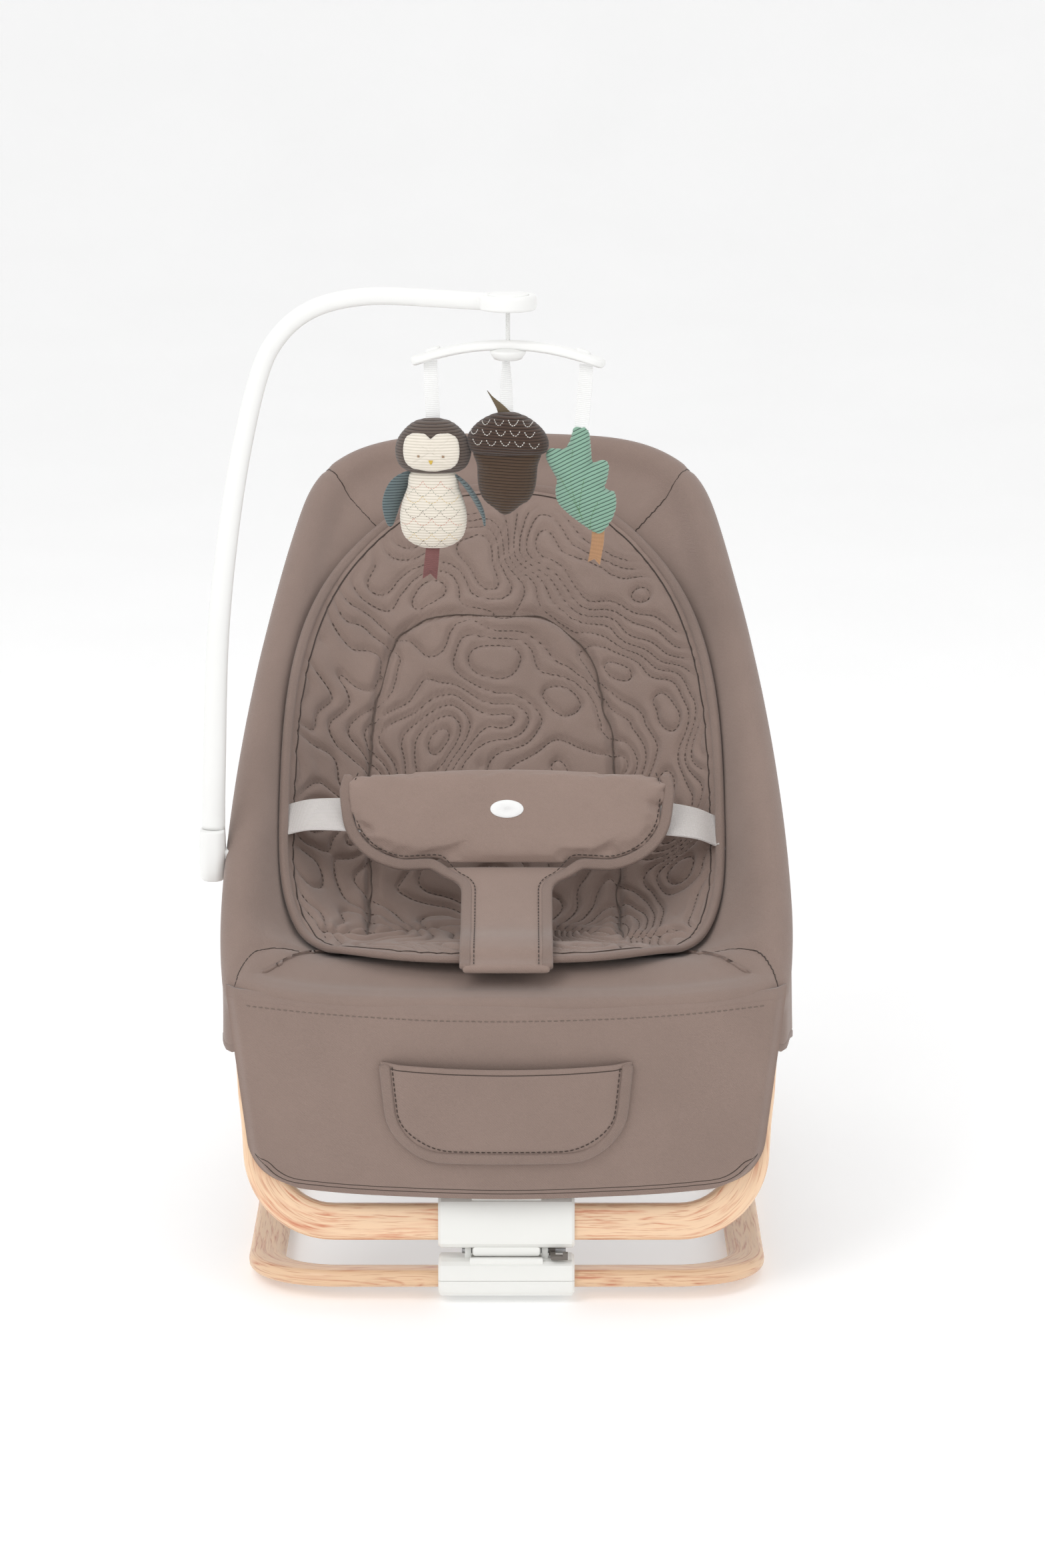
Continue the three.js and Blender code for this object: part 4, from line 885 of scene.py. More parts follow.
def cover_rings():
    """Rings of the cover's outer face, from the skirt's hem to the middle of the bowl."""
    count = COVER["around"]
    edge, away = rim_edge(count)
    x, p = edge.T
    lip = smooth((30 - p) / 44)
    bulge = COVER["lip_bulge"] * lip
    rise = rim_rise(p)

    def outer(angle):
        reach_out = bulge * np.cos(angle) + RIM["roll"] * (np.cos(angle) - 1)
        spot = edge + away * reach_out[:, None]
        return seat_point(spot[:, 0], spot[:, 1],
                          rise + RIM["roll"] * (np.sin(angle) - 1))
    low = edge + away * (bulge - 1)[:, None]
    top = seat_point(low[:, 0], low[:, 1], rise - 2 * RIM["roll"])
    depth = lerp(skirt_depth(p), COVER["front_drop"], smooth((16 - p) / 30))
    turn = np.arange(count) / count * 2 * math.pi
    rings = []
    for v in (1.0, 0.9, 0.75, 0.6, 0.45, 0.3, 0.15):
        fold = 1.4 * v * np.sin(turn * 9 + 0.7) + 0.8 * v * np.sin(turn * 23) - 1.5 * (v > 0.95)
        ring = top + np.stack([away[:, 0] * fold, away[:, 1] * fold, -depth * v], axis=1)
        rings.append(ring)
    rings.append(top)
    mid = edge + away * bulge[:, None]
    rings.append(seat_point(mid[:, 0], mid[:, 1], rise - 1.5 * RIM["roll"]))
    for degrees in range(0, 90, 12):
        rings.append(outer(np.full(count, math.radians(degrees))))
    for inset in (15.5, 18, 21, 24, 27, 30):
        q = edge - away * inset
        rings.append(seat_point(q[:, 0], q[:, 1], cover_height(q[:, 0], q[:, 1], inset)))
    inner = edge - away * BOWL["inset"]
    span = np.hypot(inner[:, 0], inner[:, 1] - CENTRE_P)
    for r in [1 - 0.0125 * i for i in range(17)] + [0.74, 0.66, 0.55, 0.4, 0.25, 0.1]:
        x, p = inner[:, 0] * r, CENTRE_P + (inner[:, 1] - CENTRE_P) * r
        inset = BOWL["inset"] + (1 - r) * span
        rings.append(seat_point(x, p, cover_height(x, p, inset)))
    return np.array(rings)


def soften_rings(rings, first, last, times):
    for _ in range(times):
        rings[first:last] = (rings[first - 1:last - 1] + 2 * rings[first:last]
                             + rings[first + 1:last + 1]) / 4
    return rings


def on_seat(surface, flat, count):
    """A curve drawn in the rim plane as (x, p), dropped onto a surface with its normals."""
    placed, normals = [], []
    for x, p in spline(flat, count):
        start = seat_point(x, p, 120)
        spot, normal, _, _ = surface.ray_cast(Vector(start), Vector(-SEAT_UP))
        if spot is None:
            continue
        normal = np.array(normal)
        normal *= np.sign(normal @ SEAT_UP) or 1
        placed.append(np.array(spot))
        normals.append(normal)
    return np.array(placed), np.array(normals)


def groove(points, lines, depth, width, up):
    """Points pulled down near sewn lines."""
    near = nearest_line(points, lines)
    return points - up * (depth * np.exp(-(near / width) ** 2))[:, None]


def add_stitches(name, lines, material, radius, length, gap):
    points, faces = dashes(lines, radius, length, gap, lift=0.1)
    piece(name, points, faces, material, "seat")


def add_cord_line(name, line, normals, radius, material, sink):
    """A seam line lying on a surface of the seat."""
    path = line - normals * sink
    scale = rounded_ends(path, radius)
    wrapped(name, sweep(path, circle(radius, 12), normals, scale=scale), material, "seat")


def build_cover():
    rings = soften_rings(cover_rings(), 8, 26, 3)
    points = rings.reshape(-1, 3)
    points = points + SEAT_UP * wobble(points, 70.0, 1.3, 3.1)[:, None]
    count = COVER["around"]
    faces = grid_faces(len(rings), count, wrap=True)
    middle = len(points)
    points = np.vstack([points, rings[-1].mean(axis=0)])
    faces += [((len(rings) - 1) * count + j, (len(rings) - 1) * count + (j + 1) % count, middle)
              for j in range(count)]
    return points, faces


# Seams of the cover in the rim plane, as (x, p): two across the head end, two round the lip.
HEAD_SEAM = [(-170, 647), (-142, 612), (-113, 578), (-92, 552)]
LIP_SEAM = [(-168, 74), (-184, 69), (-202, 56), (-213, 35), (-219, 12), (-221, 0)]

cover_points, cover_faces = build_cover()
cover_surface = surface_of(cover_points, cover_faces)
cover_seams = []
for s in (1, -1):
    for seam in (HEAD_SEAM, LIP_SEAM):
        cover_seams.append(on_seat(cover_surface, [(s * x, p) for x, p in seam], 80))
cover_points = groove(cover_points, [line for line, _ in cover_seams], 2.2, 4.5, SEAT_UP)
cover_surface = surface_of(cover_points, cover_faces)
cover = piece("seat_cover", cover_points, cover_faces, taupe, "seat",
              ("seat_bucket", "rim_cover", "side_skirt_left", "side_skirt_right"))
crest = max(cover.data.polygons, key=lambda f: f.center.z)
if crest.normal.z < 0:
    cover.data.flip_normals()
layer = cover.modifiers.new("layer", "SOLIDIFY")
layer.thickness = COVER["layer"] * MM
layer.offset = -1
apply_modifiers(cover)
for i, (line, _) in enumerate(cover_seams):
    line, normals = lay(cover_surface, line)
    add_cord_line("cover_seam_%d" % i, line, normals, 0.55, seam_thread, 0.15)


def build_hem():
    """A folded hem along the skirt's lower edge."""
    count = COVER["around"]
    ring = cover_points[:count]
    path = resample(np.vstack([ring, ring[:1]]), 300, closed=True)
    section = rounded_rect(3.6, 7, 1.7, 3)
    wrapped("skirt_hem", sweep(path + [0, 0, 1.5], section, [0, 0, 1], closed=True), taupe_trim,
            "seat", closed=True)


build_hem()

# ------------------------------------------------------------------ quilted insert

QUILT = {"rings": 104, "around": 620, "step": 2.5, "size": 82.0, "levels": 0.16, "groove": 2.2,
         "groove_width": 1.9, "puff": 3.2, "puff_width": 5.5, "binding": 8.5}
INSERT_SPAN = (CENTRE_P - INSERT["lower"], CENTRE_P + INSERT["upper"])


def insert_outline(count, inset=0.0):
    return outline(insert_half, *INSERT_SPAN, inset, count)


INSERT_REACH = reach(insert_half, *INSERT_SPAN, BOWL_ANGLES)


def insert_share(x, p):
    away = np.hypot(x - INSERT["x"], p - CENTRE_P)
    return away / np.interp(np.arctan2(p - CENTRE_P, x - INSERT["x"]), BOWL_ANGLES, INSERT_REACH)


def insert_height(x, p):
    """The insert's upper face, before quilting."""
    r = np.minimum(insert_share(x, p), 1)
    q = np.minimum(bowl_share(x, p), 1)
    return (bowl_height(x, p) - BOWL["under"] * (1 - q ** 6) + INSERT["lift"]
            + INSERT["thick"] * (1 - 0.5 * r ** 8) + front_lift(p))


def insert_point(x, p, lift=0.0):
    """A point on the insert's upper face, or lifted off it."""
    return seat_point(x, p, insert_height(x, p) + lift)


def quilt_field():
    """A smooth made-up landscape over the insert, whose level lines are the quilting."""
    xs = np.arange(-200, 200.1, QUILT["step"])
    ps = np.arange(20, 640.1, QUILT["step"])
    grid_x, grid_p = np.meshgrid(xs, ps, indexing="ij")
    height = insert_height(grid_x, grid_p)
    field = np.empty(height.shape)
    for i, j in np.ndindex(*height.shape):
        w = Vector((xs[i], ps[j], height[i, j])) / QUILT["size"] + Vector((7.3, 2.9, 4.7))
        bend = noise.noise(w * 0.6 + Vector((9, 4, 1))) * 0.9
        field[i, j] = noise.noise(w + Vector((bend, -bend, 0))) + 0.25 * noise.noise(w * 2.1)
    fx, fp = np.gradient(field, QUILT["step"])
    hx, hp = np.gradient(height, QUILT["step"])
    across = (fx * hx + fp * hp) ** 2 / (1 + hx ** 2 + hp ** 2)
    return xs, ps, field, np.sqrt(np.maximum(fx ** 2 + fp ** 2 - across, 1e-9))


def sample(xs, ps, grid, x, p):
    """A grid's value at points, blended between its four nearest entries."""
    i = np.clip((x - xs[0]) / QUILT["step"], 0, len(xs) - 1.001)
    j = np.clip((p - ps[0]) / QUILT["step"], 0, len(ps) - 1.001)
    a, b = i.astype(int), j.astype(int)
    u, v = i - a, j - b
    return (grid[a, b] * (1 - u) * (1 - v) + grid[a + 1, b] * u * (1 - v)
            + grid[a, b + 1] * (1 - u) * v + grid[a + 1, b + 1] * u * v)


def level_lines(xs, ps, field, level):
    """Chained (x, p) lines where the field crosses a level."""
    def crossing(a, b):
        t = (level - field[a]) / (field[b] - field[a])
        return (lerp(xs[a[0]], xs[b[0]], t), lerp(ps[a[1]], ps[b[1]], t))
    links = {}
    above = field > level
    for i in range(len(xs) - 1):
        for j in range(len(ps) - 1):
            corners = ((i, j), (i + 1, j), (i + 1, j + 1), (i, j + 1))
            cut = [tuple(sorted((corners[k], corners[(k + 1) % 4]))) for k in range(4)
                   if above[corners[k]] != above[corners[(k + 1) % 4]]]
            for a, b in zip(cut[::2], cut[1::2]):
                links.setdefault(a, []).append(b)
                links.setdefault(b, []).append(a)
    lines = []
    ends = [e for e, to in links.items() if len(to) == 1]
    for start in ends + sorted(links):
        if not links.get(start):
            continue
        chain, here = [start], start
        while links.get(here):
            after = links[here].pop()
            links[after].remove(here)
            chain.append(after)
            here = after
        lines.append(np.array([crossing(*edge) for edge in chain]))
    return lines


# Seams of the insert in the rim plane: the back panel's arch and the seat's crease.
ARCH_SEAM = [(-114, 131), (-116, 220), (-117, 340), (-113, 395), (-105, 438), (-90, 468),
             (-60, 484), (-9, 486), (36, 482), (62, 458), (77, 424), (87, 375), (92, 335),
             (94, 220), (95, 130)]
CREASE_SEAM = [(-150, 118), (-114, 131), (-70, 150), (-38, 156), (40, 150), (67, 142),
               (95, 130), (137, 121)]


def quilt_relief(x, p, xs, ps, field, slopes):
    """How far the quilting lifts or sinks the insert, by distance from the level lines."""
    value, slope = sample(xs, ps, field, x, p), sample(xs, ps, slopes, x, p)
    off = np.abs(value / QUILT["levels"] - np.round(value / QUILT["levels"])) * QUILT["levels"]
    away = off / np.maximum(slope, 0.004)
    relief = (QUILT["puff"] * (1 - np.exp(-away / QUILT["puff_width"]))
              - QUILT["groove"] * np.exp(-(away / QUILT["groove_width"]) ** 2))
    return relief * smooth((1 - insert_share(x, p)) * 9)


def insert_body(top, under, rings, count):
    """Points and faces of the insert, closed in its middle and round its edge."""
    faces = grid_faces(rings, count, wrap=True)
    middle = np.vstack([top[-count:].mean(axis=0), under[-count:].mean(axis=0)])
    total = rings * count
    faces += [tuple(i + total for i in reversed(f)) for f in faces]
    last = (rings - 1) * count
    for j in range(count):
        k = (j + 1) % count
        faces.append((last + j, last + k, 2 * total))
        faces.append((total + last + k, total + last + j, 2 * total + 1))
        faces.append((k, j, total + j, total + k))
    return np.vstack([top, under, middle]), faces


def build_insert():
    xs, ps, field, slopes = quilt_field()
    count, rings = QUILT["around"], QUILT["rings"]
    edge = insert_outline(count)
    share = np.linspace(1, 0, rings, endpoint=False)[:, None]
    x = edge[:, 0] * share + INSERT["x"]
    p = CENTRE_P + (edge[:, 1] - CENTRE_P) * share
    x, p = x.ravel(), p.ravel()
    relief = quilt_relief(x, p, xs, ps, field, slopes)
    top = insert_point(x, p)
    normals = sheet_normals(top, rings, count)
    seams = [insert_point(*spline(seam, 260).T) for seam in (ARCH_SEAM, CREASE_SEAM)]
    near = nearest_line(top, seams)
    relief = relief * smooth(near / 9) + 1.5 * np.exp(-((near - 10) / 7) ** 2)
    top = top + normals * (relief - 4.5 * np.exp(-(near / 4.0) ** 2))[:, None]
    under = insert_point(x, p, -INSERT["thick"] * 0.6)
    points, faces = insert_body(top, under, rings, count)
    obj = piece("seat_insert_quilt", points, faces, taupe_quilt, "seat",
                ("seat_insert",))
    surface = surface_of(top, grid_faces(rings, count, wrap=True))
    stitch_quilting(xs, ps, field, surface)
    for i, seam in enumerate(seams):
        line, up = lay(surface, seam)
        line = relaxed(line, 8)
        add_cord_line("insert_seam_%d" % i, line, up, 0.6, quilt_thread, 0.1)
    return surface


def sheet_normals(points, rows, cols):
    """Normals of a wrapped grid of points, on the side of the seat's up."""
    grid = points.reshape(rows, cols, 3)
    normals = unit(np.cross(np.gradient(grid, axis=0),
                            np.roll(grid, -1, axis=1) - np.roll(grid, 1, axis=1)))
    normals *= np.sign((normals * SEAT_UP).sum(axis=-1, keepdims=True))
    return normals.reshape(-1, 3)


def stitch_quilting(xs, ps, field, surface):
    lines = []
    top = np.abs(field).max()
    for k in range(-int(top / QUILT["levels"]), int(top / QUILT["levels"]) + 1):
        for flat in level_lines(xs, ps, field, k * QUILT["levels"]):
            inside = insert_share(flat[:, 0], flat[:, 1]) < 0.93
            runs = np.split(np.arange(len(flat)), np.flatnonzero(np.diff(inside.astype(int))) + 1)
            for run in runs:
                if len(run) < 8 or not inside[run[0]]:
                    continue
                part = flat[run]
                length = line_length(part)
                if length < 18:
                    continue
                part = resample(part, max(8, int(length / 2.2)))
                lines.append(lay(surface, insert_point(*part.T, -1)))
    add_stitches("insert_stitches", lines, quilt_thread, 0.45, 3.2, 1.7)


def build_binding():
    """The rolled binding round the insert, with the stitch line that holds it."""
    flat = insert_outline(420, 1.0) + [INSERT["x"], 0]
    path = insert_point(*flat.T, -1.2)
    out = unit(np.column_stack([flat[:, 0] - INSERT["x"], flat[:, 1] - CENTRE_P]))
    tilt = seat_point(out[:, 0], out[:, 1], 0) - [0, 0, SEAT_Z]
    up = unit(SEAT_UP * 0.8 - tilt * 0.6)
    section = rounded_rect(QUILT["binding"], 6.2, 3.0, 4)
    wrapped("insert_binding", sweep(path, section, up, closed=True), taupe_trim, "seat",
            closed=True)
    inner = insert_outline(420, 8.6) + [INSERT["x"], 0]
    line = insert_point(*inner.T)
    line, normals = lay(insert_surface, np.vstack([line, line[:1]]))
    add_cord_line("insert_edge_line", line[:-1], normals[:-1], 0.75, seam_thread,
                  0.1)


insert_surface = build_insert()
build_binding()

# ------------------------------------------------------------------ soft pads

CLOTH_FRAMES = 20


def inflate(obj, voxel, cap, pressure):
    """Stuffs a closed piece by cloth simulation; no point moves more than cap, in mm."""
    remesh = obj.modifiers.new("even", "REMESH")
    remesh.mode = "VOXEL"
    remesh.voxel_size = voxel * MM
    apply_modifiers(obj)
    material = obj.data.materials[0] if obj.data.materials else None
    count = len(obj.data.vertices) * 3
    rest = np.empty(count, np.float32)
    obj.data.vertices.foreach_get("co", rest)
    swell = obj.modifiers.new("stuffing", "CLOTH")
    settings = swell.settings
    settings.quality = 5
    settings.mass = 0.2
    settings.use_pressure = True
    settings.uniform_pressure_force = pressure
    settings.effector_weights.gravity = 0
    settings.tension_stiffness = settings.compression_stiffness = 12
    settings.bending_stiffness = 0.3
    swell.point_cache.frame_start, swell.point_cache.frame_end = 1, CLOTH_FRAMES
    BENCH.collection.objects.link(obj)
    for at in range(1, CLOTH_FRAMES + 1):
        BENCH.frame_set(at)
    moved = np.empty(count, np.float32)
    graph = BENCH.view_layers[0].depsgraph
    obj.evaluated_get(graph).data.vertices.foreach_get("co", moved)
    obj.modifiers.clear()
    BENCH.frame_set(1)
    BENCH.collection.objects.unlink(obj)
    step = (moved - rest).reshape(-1, 3)
    size = np.linalg.norm(step, axis=1, keepdims=True)
    step *= np.minimum(1, cap * MM / np.maximum(size, 1e-9))
    obj.data.vertices.foreach_set("co", rest + step.ravel())
    obj.data.update()
    if material and not obj.data.materials:
        obj.data.materials.append(material)
    subdivide(obj)
    shade_smooth(obj.data)


def mesh_surface(obj):
    """The object's surface in local millimetres."""
    points = np.array([v.co for v in obj.data.vertices])
    points = (points - ORIGIN) / MM
    return surface_of(points, [tuple(f.vertices) for f in obj.data.polygons])


# ------------------------------------------------------------------ waist flap and crotch strap

low_y, low_z = FLAP["low"]
high_y, high_z = FLAP["high"]
FLAP_HEIGHT = math.hypot(high_y - low_y, high_z - low_z)
FLAP_UP = np.array([0, high_y - low_y, high_z - low_z]) / FLAP_HEIGHT
FLAP_OUT = np.array([0, -FLAP_UP[2], FLAP_UP[1]])
TRIM = {"width": 9.5, "thick": 5.0, "stitch": 10.5}
FLARE = {"length": 24, "extra": 24}


def flap_point(x, v, out=0.0):
    """A point of the flap: x across, v up it, out from its middle layer."""
    x, v, out = np.broadcast_arrays(np.asarray(x, float), v, out)
    lower = np.clip(1 - v / FLAP_HEIGHT, 0, 1) ** 1.6
    x = x - np.sign(x) * FLAP["taper"] * lower * smooth((np.abs(x) - 62) / 50)
    base = np.stack([x, low_y + FLAP_UP[1] * v, low_z + FLAP_UP[2] * v
                     - FLAP["droop"] * (x / FLAP["half"]) ** 2], axis=-1)
    return base + FLAP_OUT * out[..., None]


def flap_outline(inset, count):
    """The flap's side and lower edges as (x, v), from the top left corner round."""
    half, corner = FLAP["half"] - inset, FLAP["corner"] - inset
    turn = np.radians(np.linspace(180, 270, 14))
    left = np.column_stack([-half + corner + corner * np.cos(turn),
                            inset + corner + corner * np.sin(turn)])
    right = left[::-1] * [-1, 1]
    start = [[-half + 5, FLAP_HEIGHT - 4], [-half, FLAP_HEIGHT - 16]]
    points = start + list(left)
    points = points + list(right) + [[-a, b] for a, b in start[::-1]]
    return resample(np.array(points), count)


def build_flap():
    rows, cols = 26, 60
    v = np.linspace(0, FLAP_HEIGHT, rows)[:, None]
    half = np.minimum(rounded_half(FLAP["half"], FLAP["corner"], v),
                      rounded_half(FLAP["half"], FLAP["top_corner"], FLAP_HEIGHT - v))
    u = np.linspace(-1, 1, cols)[None]
    x = (half - 3.5) * u
    bow = 7 * (1 - u ** 2) * (v / FLAP_HEIGHT)
    tongue = smooth((CROTCH["half"] + FLARE["extra"] - np.abs(x)) / 16)
    v = lerp(3.5 - 6 * tongue, FLAP_HEIGHT - 2.5, v / FLAP_HEIGHT) + bow * 0.35
    front = flap_point(x, v, 3.2)
    back = flap_point(x, v, -2.2)
    points, faces = slab(front, back)
    pad = piece("waist_flap_pad", points, faces, taupe_painted_light, "seat",
                ("waist_flap", "crotch_strap"))
    inflate(pad, 4.0, 5.5, 4.0)
    return pad


bed_p = np.arange(0.0, 240, 2)
STRAP_BED = insert_point(0 * bed_p, bed_p, -7 * smooth((36 - bed_p) / 12))


def strap_half(v):
    """Half-width of the crotch strap, flaring into the flap at its upper end."""
    y0, z0 = CROTCH["start"]
    y1, z1 = CROTCH["end"]
    length = math.hypot(y1 - y0, z1 - z0)
    t = np.clip(1 - (1 - v) * length / FLARE["length"], 0, 1)
    return CROTCH["half"] + FLARE["extra"] * (1 - np.sqrt(1 - t * t))


def strap_point(x, v, out=0.0):
    """A point of the crotch strap: x across, v from 0 at its lower end to 1 under the flap."""
    x, v, out = np.broadcast_arrays(np.asarray(x, float), v, out)
    y0, z0 = CROTCH["start"]
    y1, z1 = CROTCH["end"]
    y = lerp(y0, y1, v)
    z = z0 + (z1 - z0) * np.sign(v) * np.abs(v) ** CROTCH["curve"]
    z = -soft_min(-z, -np.interp(y, STRAP_BED[:, 1], STRAP_BED[:, 2]) - CROTCH["clear"], 5)
    rise = (z1 - z0) * CROTCH["curve"] * np.maximum(v, 0.02) ** (CROTCH["curve"] - 1)
    along = unit(np.stack([0 * y, (y1 - y0) + 0 * y, rise], axis=-1))
    normal = np.stack([0 * y, -along[..., 2], along[..., 1]], axis=-1)
    return np.stack([x, y, z], axis=-1) + normal * out[..., None]


def build_strap():
    rows, cols = 40, 17
    v = np.linspace(-0.2, 1.06, rows)[:, None]
    u = np.linspace(-1, 1, cols)[None]
    x = (strap_half(np.clip(v, 0, 1)) - 1.5) * u
    crown = 1.3 * (1 - u ** 4) + 0 * v
    front = strap_point(x, v, 2.6 + crown)
    back = strap_point(x, v, -3.0 - 0.5 * crown)
    points, faces = slab(front, back)
    strap = piece("crotch_strap_pad", points, faces, taupe_painted_light, "seat")
    subdivide(strap)


def trim_lines(inset):
    """The T-shaped edge as one line on each side: down the flap, round it and down the strap."""
    lines = []
    flat = flap_outline(inset, 160)
    for s in (-1, 1):
        side = flat[flat[:, 0] * s > CROTCH["half"] + FLARE["extra"] - inset + 4]
        side = side if s < 0 else side[::-1]
        upper = flap_point(side[:, 0], side[:, 1], 1.0)
        v = np.linspace(0.985, -0.19, 66)
        half = strap_half(np.clip(v, 0, 1)) - inset
        lower = strap_point(s * half, v, 1.0)
        line = np.vstack([upper, lower])
        normal = np.vstack([np.tile(FLAP_OUT, (len(upper), 1)),
                            strap_point(0, v, 1.0) - strap_point(0, v, 0.0)])
        joined = resample(np.hstack([line, normal]), 170)
        lines.append((joined[:, :3], unit(joined[:, 3:])))
    return lines


def build_trim():
    section = rounded_rect(TRIM["width"], TRIM["thick"], 2.3, 4)
    for i, (line, up) in enumerate(trim_lines(TRIM["width"] / 2 - 1)):
        line, up = relaxed(line, 6), turned(up, 6)
        scale = rounded_ends(line, 1.5)
        wrapped("flap_binding_%d" % i, sweep(line + up * 0.6, section, up, scale=scale),
                taupe_trim, "seat")
    stitched = [(relaxed(line, 6) + up * 3.4, up) for line, up in trim_lines(TRIM["stitch"])]
    add_stitches("flap_stitches", stitched, seam_thread, 0.5, 3.4, 1.2)


flap_pad = build_flap()
build_strap()
build_trim()


PATCH = {"half_width": 14, "half_height": 8, "up": 0.52}


def build_mark():
    """A small plain oval patch in the middle of the flap."""
    a = np.linspace(0, 2 * math.pi, 48, endpoint=False)
    surface = mesh_surface(flap_pad)
    rings = []
    for r, lift in ((1.0, 0.1), (0.97, 0.6), (0.6, 0.75), (0.2, 0.8)):
        x = PATCH["half_width"] * r * np.cos(a)
        v = FLAP_HEIGHT * PATCH["up"] + PATCH["half_height"] * r * np.sin(a)
        ring = []
        for q in flap_point(x, v, 40):
            spot, _, _, _ = surface.ray_cast(Vector(q), Vector(-FLAP_OUT))
            ring.append(np.array(spot) + FLAP_OUT * lift)
        rings.append(ring)
    wrapped("flap_patch", rings, white_ribbon, "seat")


build_mark()

# ------------------------------------------------------------------ waist webbing

STRAP_WIDTH = 35


def build_webbing(s):
    """Flat tape from under the flap, over the insert's bound edge and down behind it."""
    inner = flap_point(s * (FLAP["half"] - 28), 51, -6)
    edge_x = s * 184 + INSERT["x"]
    out = s * 1.0
    crest = insert_point(edge_x - s * 6, 226, 4.5)
    path = [inner, lerp(inner, crest, 0.35) + [0, -2, 3], lerp(inner, crest, 0.75) + [0, -3, 4],
            crest, crest + [out * 7, 0.5, -3], crest + [out * 9.5, 2, -13],
            crest + [out * 8.5, 3, -24]]
    path = spline(path, 60)
    shallow = np.array([0, math.cos(SLOPE), math.sin(SLOPE)])
    steep = unit(lerp(FLAP_UP, shallow, 0.7))
    t = smooth(np.linspace(0, 1.4, len(path)))[:, None]
    across = unit(lerp(steep, shallow, t))
    along = unit(np.gradient(path, axis=0))
    across = squared(across, along)
    normal = np.cross(along, across)
    section = rounded_rect(STRAP_WIDTH, 1.8, 0.85, 3)
    rings = path[:, None] + section[:, :1] * across[:, None] + section[:, 1:] * normal[:, None]
    name = "left" if s < 0 else "right"
    wrapped("waist_webbing_" + name, rings, webbing, "seat", ("waist_strap_" + name,),
            sharp=50)


for s in (-1, 1):
    build_webbing(s)

# ------------------------------------------------------------------ apron and pocket


def apron_y(x):
    return APRON["front"] + APRON["bow"] * (np.asarray(x) / APRON["span"]) ** 2


def apron_sag(x):
    return APRON["sag"] * (np.asarray(x) / APRON["span"]) ** 2


def apron_top(x):
    """Height of the sewn line where the apron meets the lip."""
    return APRON["seam"] + APRON["seam_rise"] * (np.asarray(x) / 212) ** 2


def apron_point(x, share):
    """A point on the apron's front face, from its hem at 0 to the lip's seam at 1."""
    low = APRON["bottom"] + apron_sag(x)
    belly = 3.0 * np.sin(np.clip(share, 0, 1) * math.pi) * (1 - (x / 230) ** 2)
    tuck = 1.0 * smooth((share - 0.7) / 0.25) + 9 * smooth((share - 0.965) / 0.04)
    curl = 4 * smooth(1 - share / 0.08)
    return np.stack(np.broadcast_arrays(
        x, apron_y(x) + tuck + curl - belly, lerp(low, apron_top(x), share)), axis=-1)


def build_apron():
    rows, cols = 80, 110
    share = 1.004 * np.linspace(1, 0, rows)[:, None]
    share = lerp(share, share ** 1.5, smooth(1.4 - 1.6 * share))
    height = APRON["seam"] - APRON["bottom"]
    half = rounded_half(lerp(APRON["bottom_half"], APRON["top_half"] + 1, share),
                        APRON["corner"], share * height)
    x = half * np.sin(np.linspace(-1, 1, cols) * math.pi / 2)[None]
    front = apron_point(x, share + 0 * x)
    side = 7 * smooth((np.abs(x) - half + 9) / 9)
    uneven = wobble(front.reshape(-1, 3), 80.0, 1.8, 8.2).reshape(front.shape[:2])
    front[..., 1] += side - uneven
    back = front + np.array([0, APRON["thick"] - 0.6, 0])
    points, faces = slab(front, back)
    apron = piece("apron_panel", points, faces, taupe, "seat", ("front_apron",))
    return surface_of(front.reshape(-1, 3), grid_faces(rows, cols))


def on_apron(surface, x, z):
    """A line dropped straight back onto the apron from its x and z."""
    placed, normals = [], []
    for a, b in zip(x, z):
        spot, normal, _, _ = surface.ray_cast(Vector((a, -120, b)), Vector((0, 1, 0)))
        if spot is None:
            continue
        normal = np.array(normal) * (-1 if normal.y > 0 else 1)
        placed.append(np.array(spot))
        normals.append(normal)
    return np.array(placed), np.array(normals)


def hem_line(inset):
    """A line inside the apron's hem as x and z, running out to the edge at its two ends."""
    above = np.concatenate([np.linspace(APRON["corner"] * 0.8, 0, 50), np.zeros(70)])
    fade = np.concatenate([smooth(np.linspace(0, 1.6, 50)), np.ones(70)])
    x = rounded_half(APRON["bottom_half"], APRON["corner"], above) - 0.8 - inset * 0.6 * fade
    x[50:] = np.linspace(x[49], 0, 71)[1:]
    z = APRON["bottom"] + inset * fade + above + apron_sag(x)
    left = np.column_stack([-x, z])
    return resample(np.vstack([left, (left * [-1, 1])[::-1]]), 150).T


apron_surface = build_apron()
for i, inset in enumerate((5.0, 8.6)):
    line, normals = on_apron(apron_surface, *hem_line(inset))
    add_cord_line("apron_hem_line_%d" % i, line, normals, 0.5, seam_thread, 0.25)
seam_x = np.linspace(-207, 207, 150)
seam_line, seam_up = on_apron(apron_surface, seam_x, apron_top(seam_x) - 9.5)
add_stitches("lip_stitches", [(seam_line, seam_up)], pale_thread, 0.5, 3.4, 1.6)


def pocket_outline(inset, count):
    """The pocket's sides and lower edge as x and height above its bottom."""
    height = POCKET["top"] - POCKET["bottom"]
    above = np.concatenate([np.linspace(height, POCKET["corner"], 12)[:-1],
                            POCKET["corner"] * (1 - np.sin(np.radians(np.linspace(0, 90, 24))))])
    half = POCKET["half"] - POCKET["taper"] * (1 - above / height)
    x = rounded_half(half, POCKET["corner"], above) - inset
    z = above + inset * smooth(1 - above / (POCKET["corner"] * 1.3))
    right = np.column_stack([x, z])
    line = np.vstack([right * [-1, 1], right[::-1]])
    return resample(line, count)


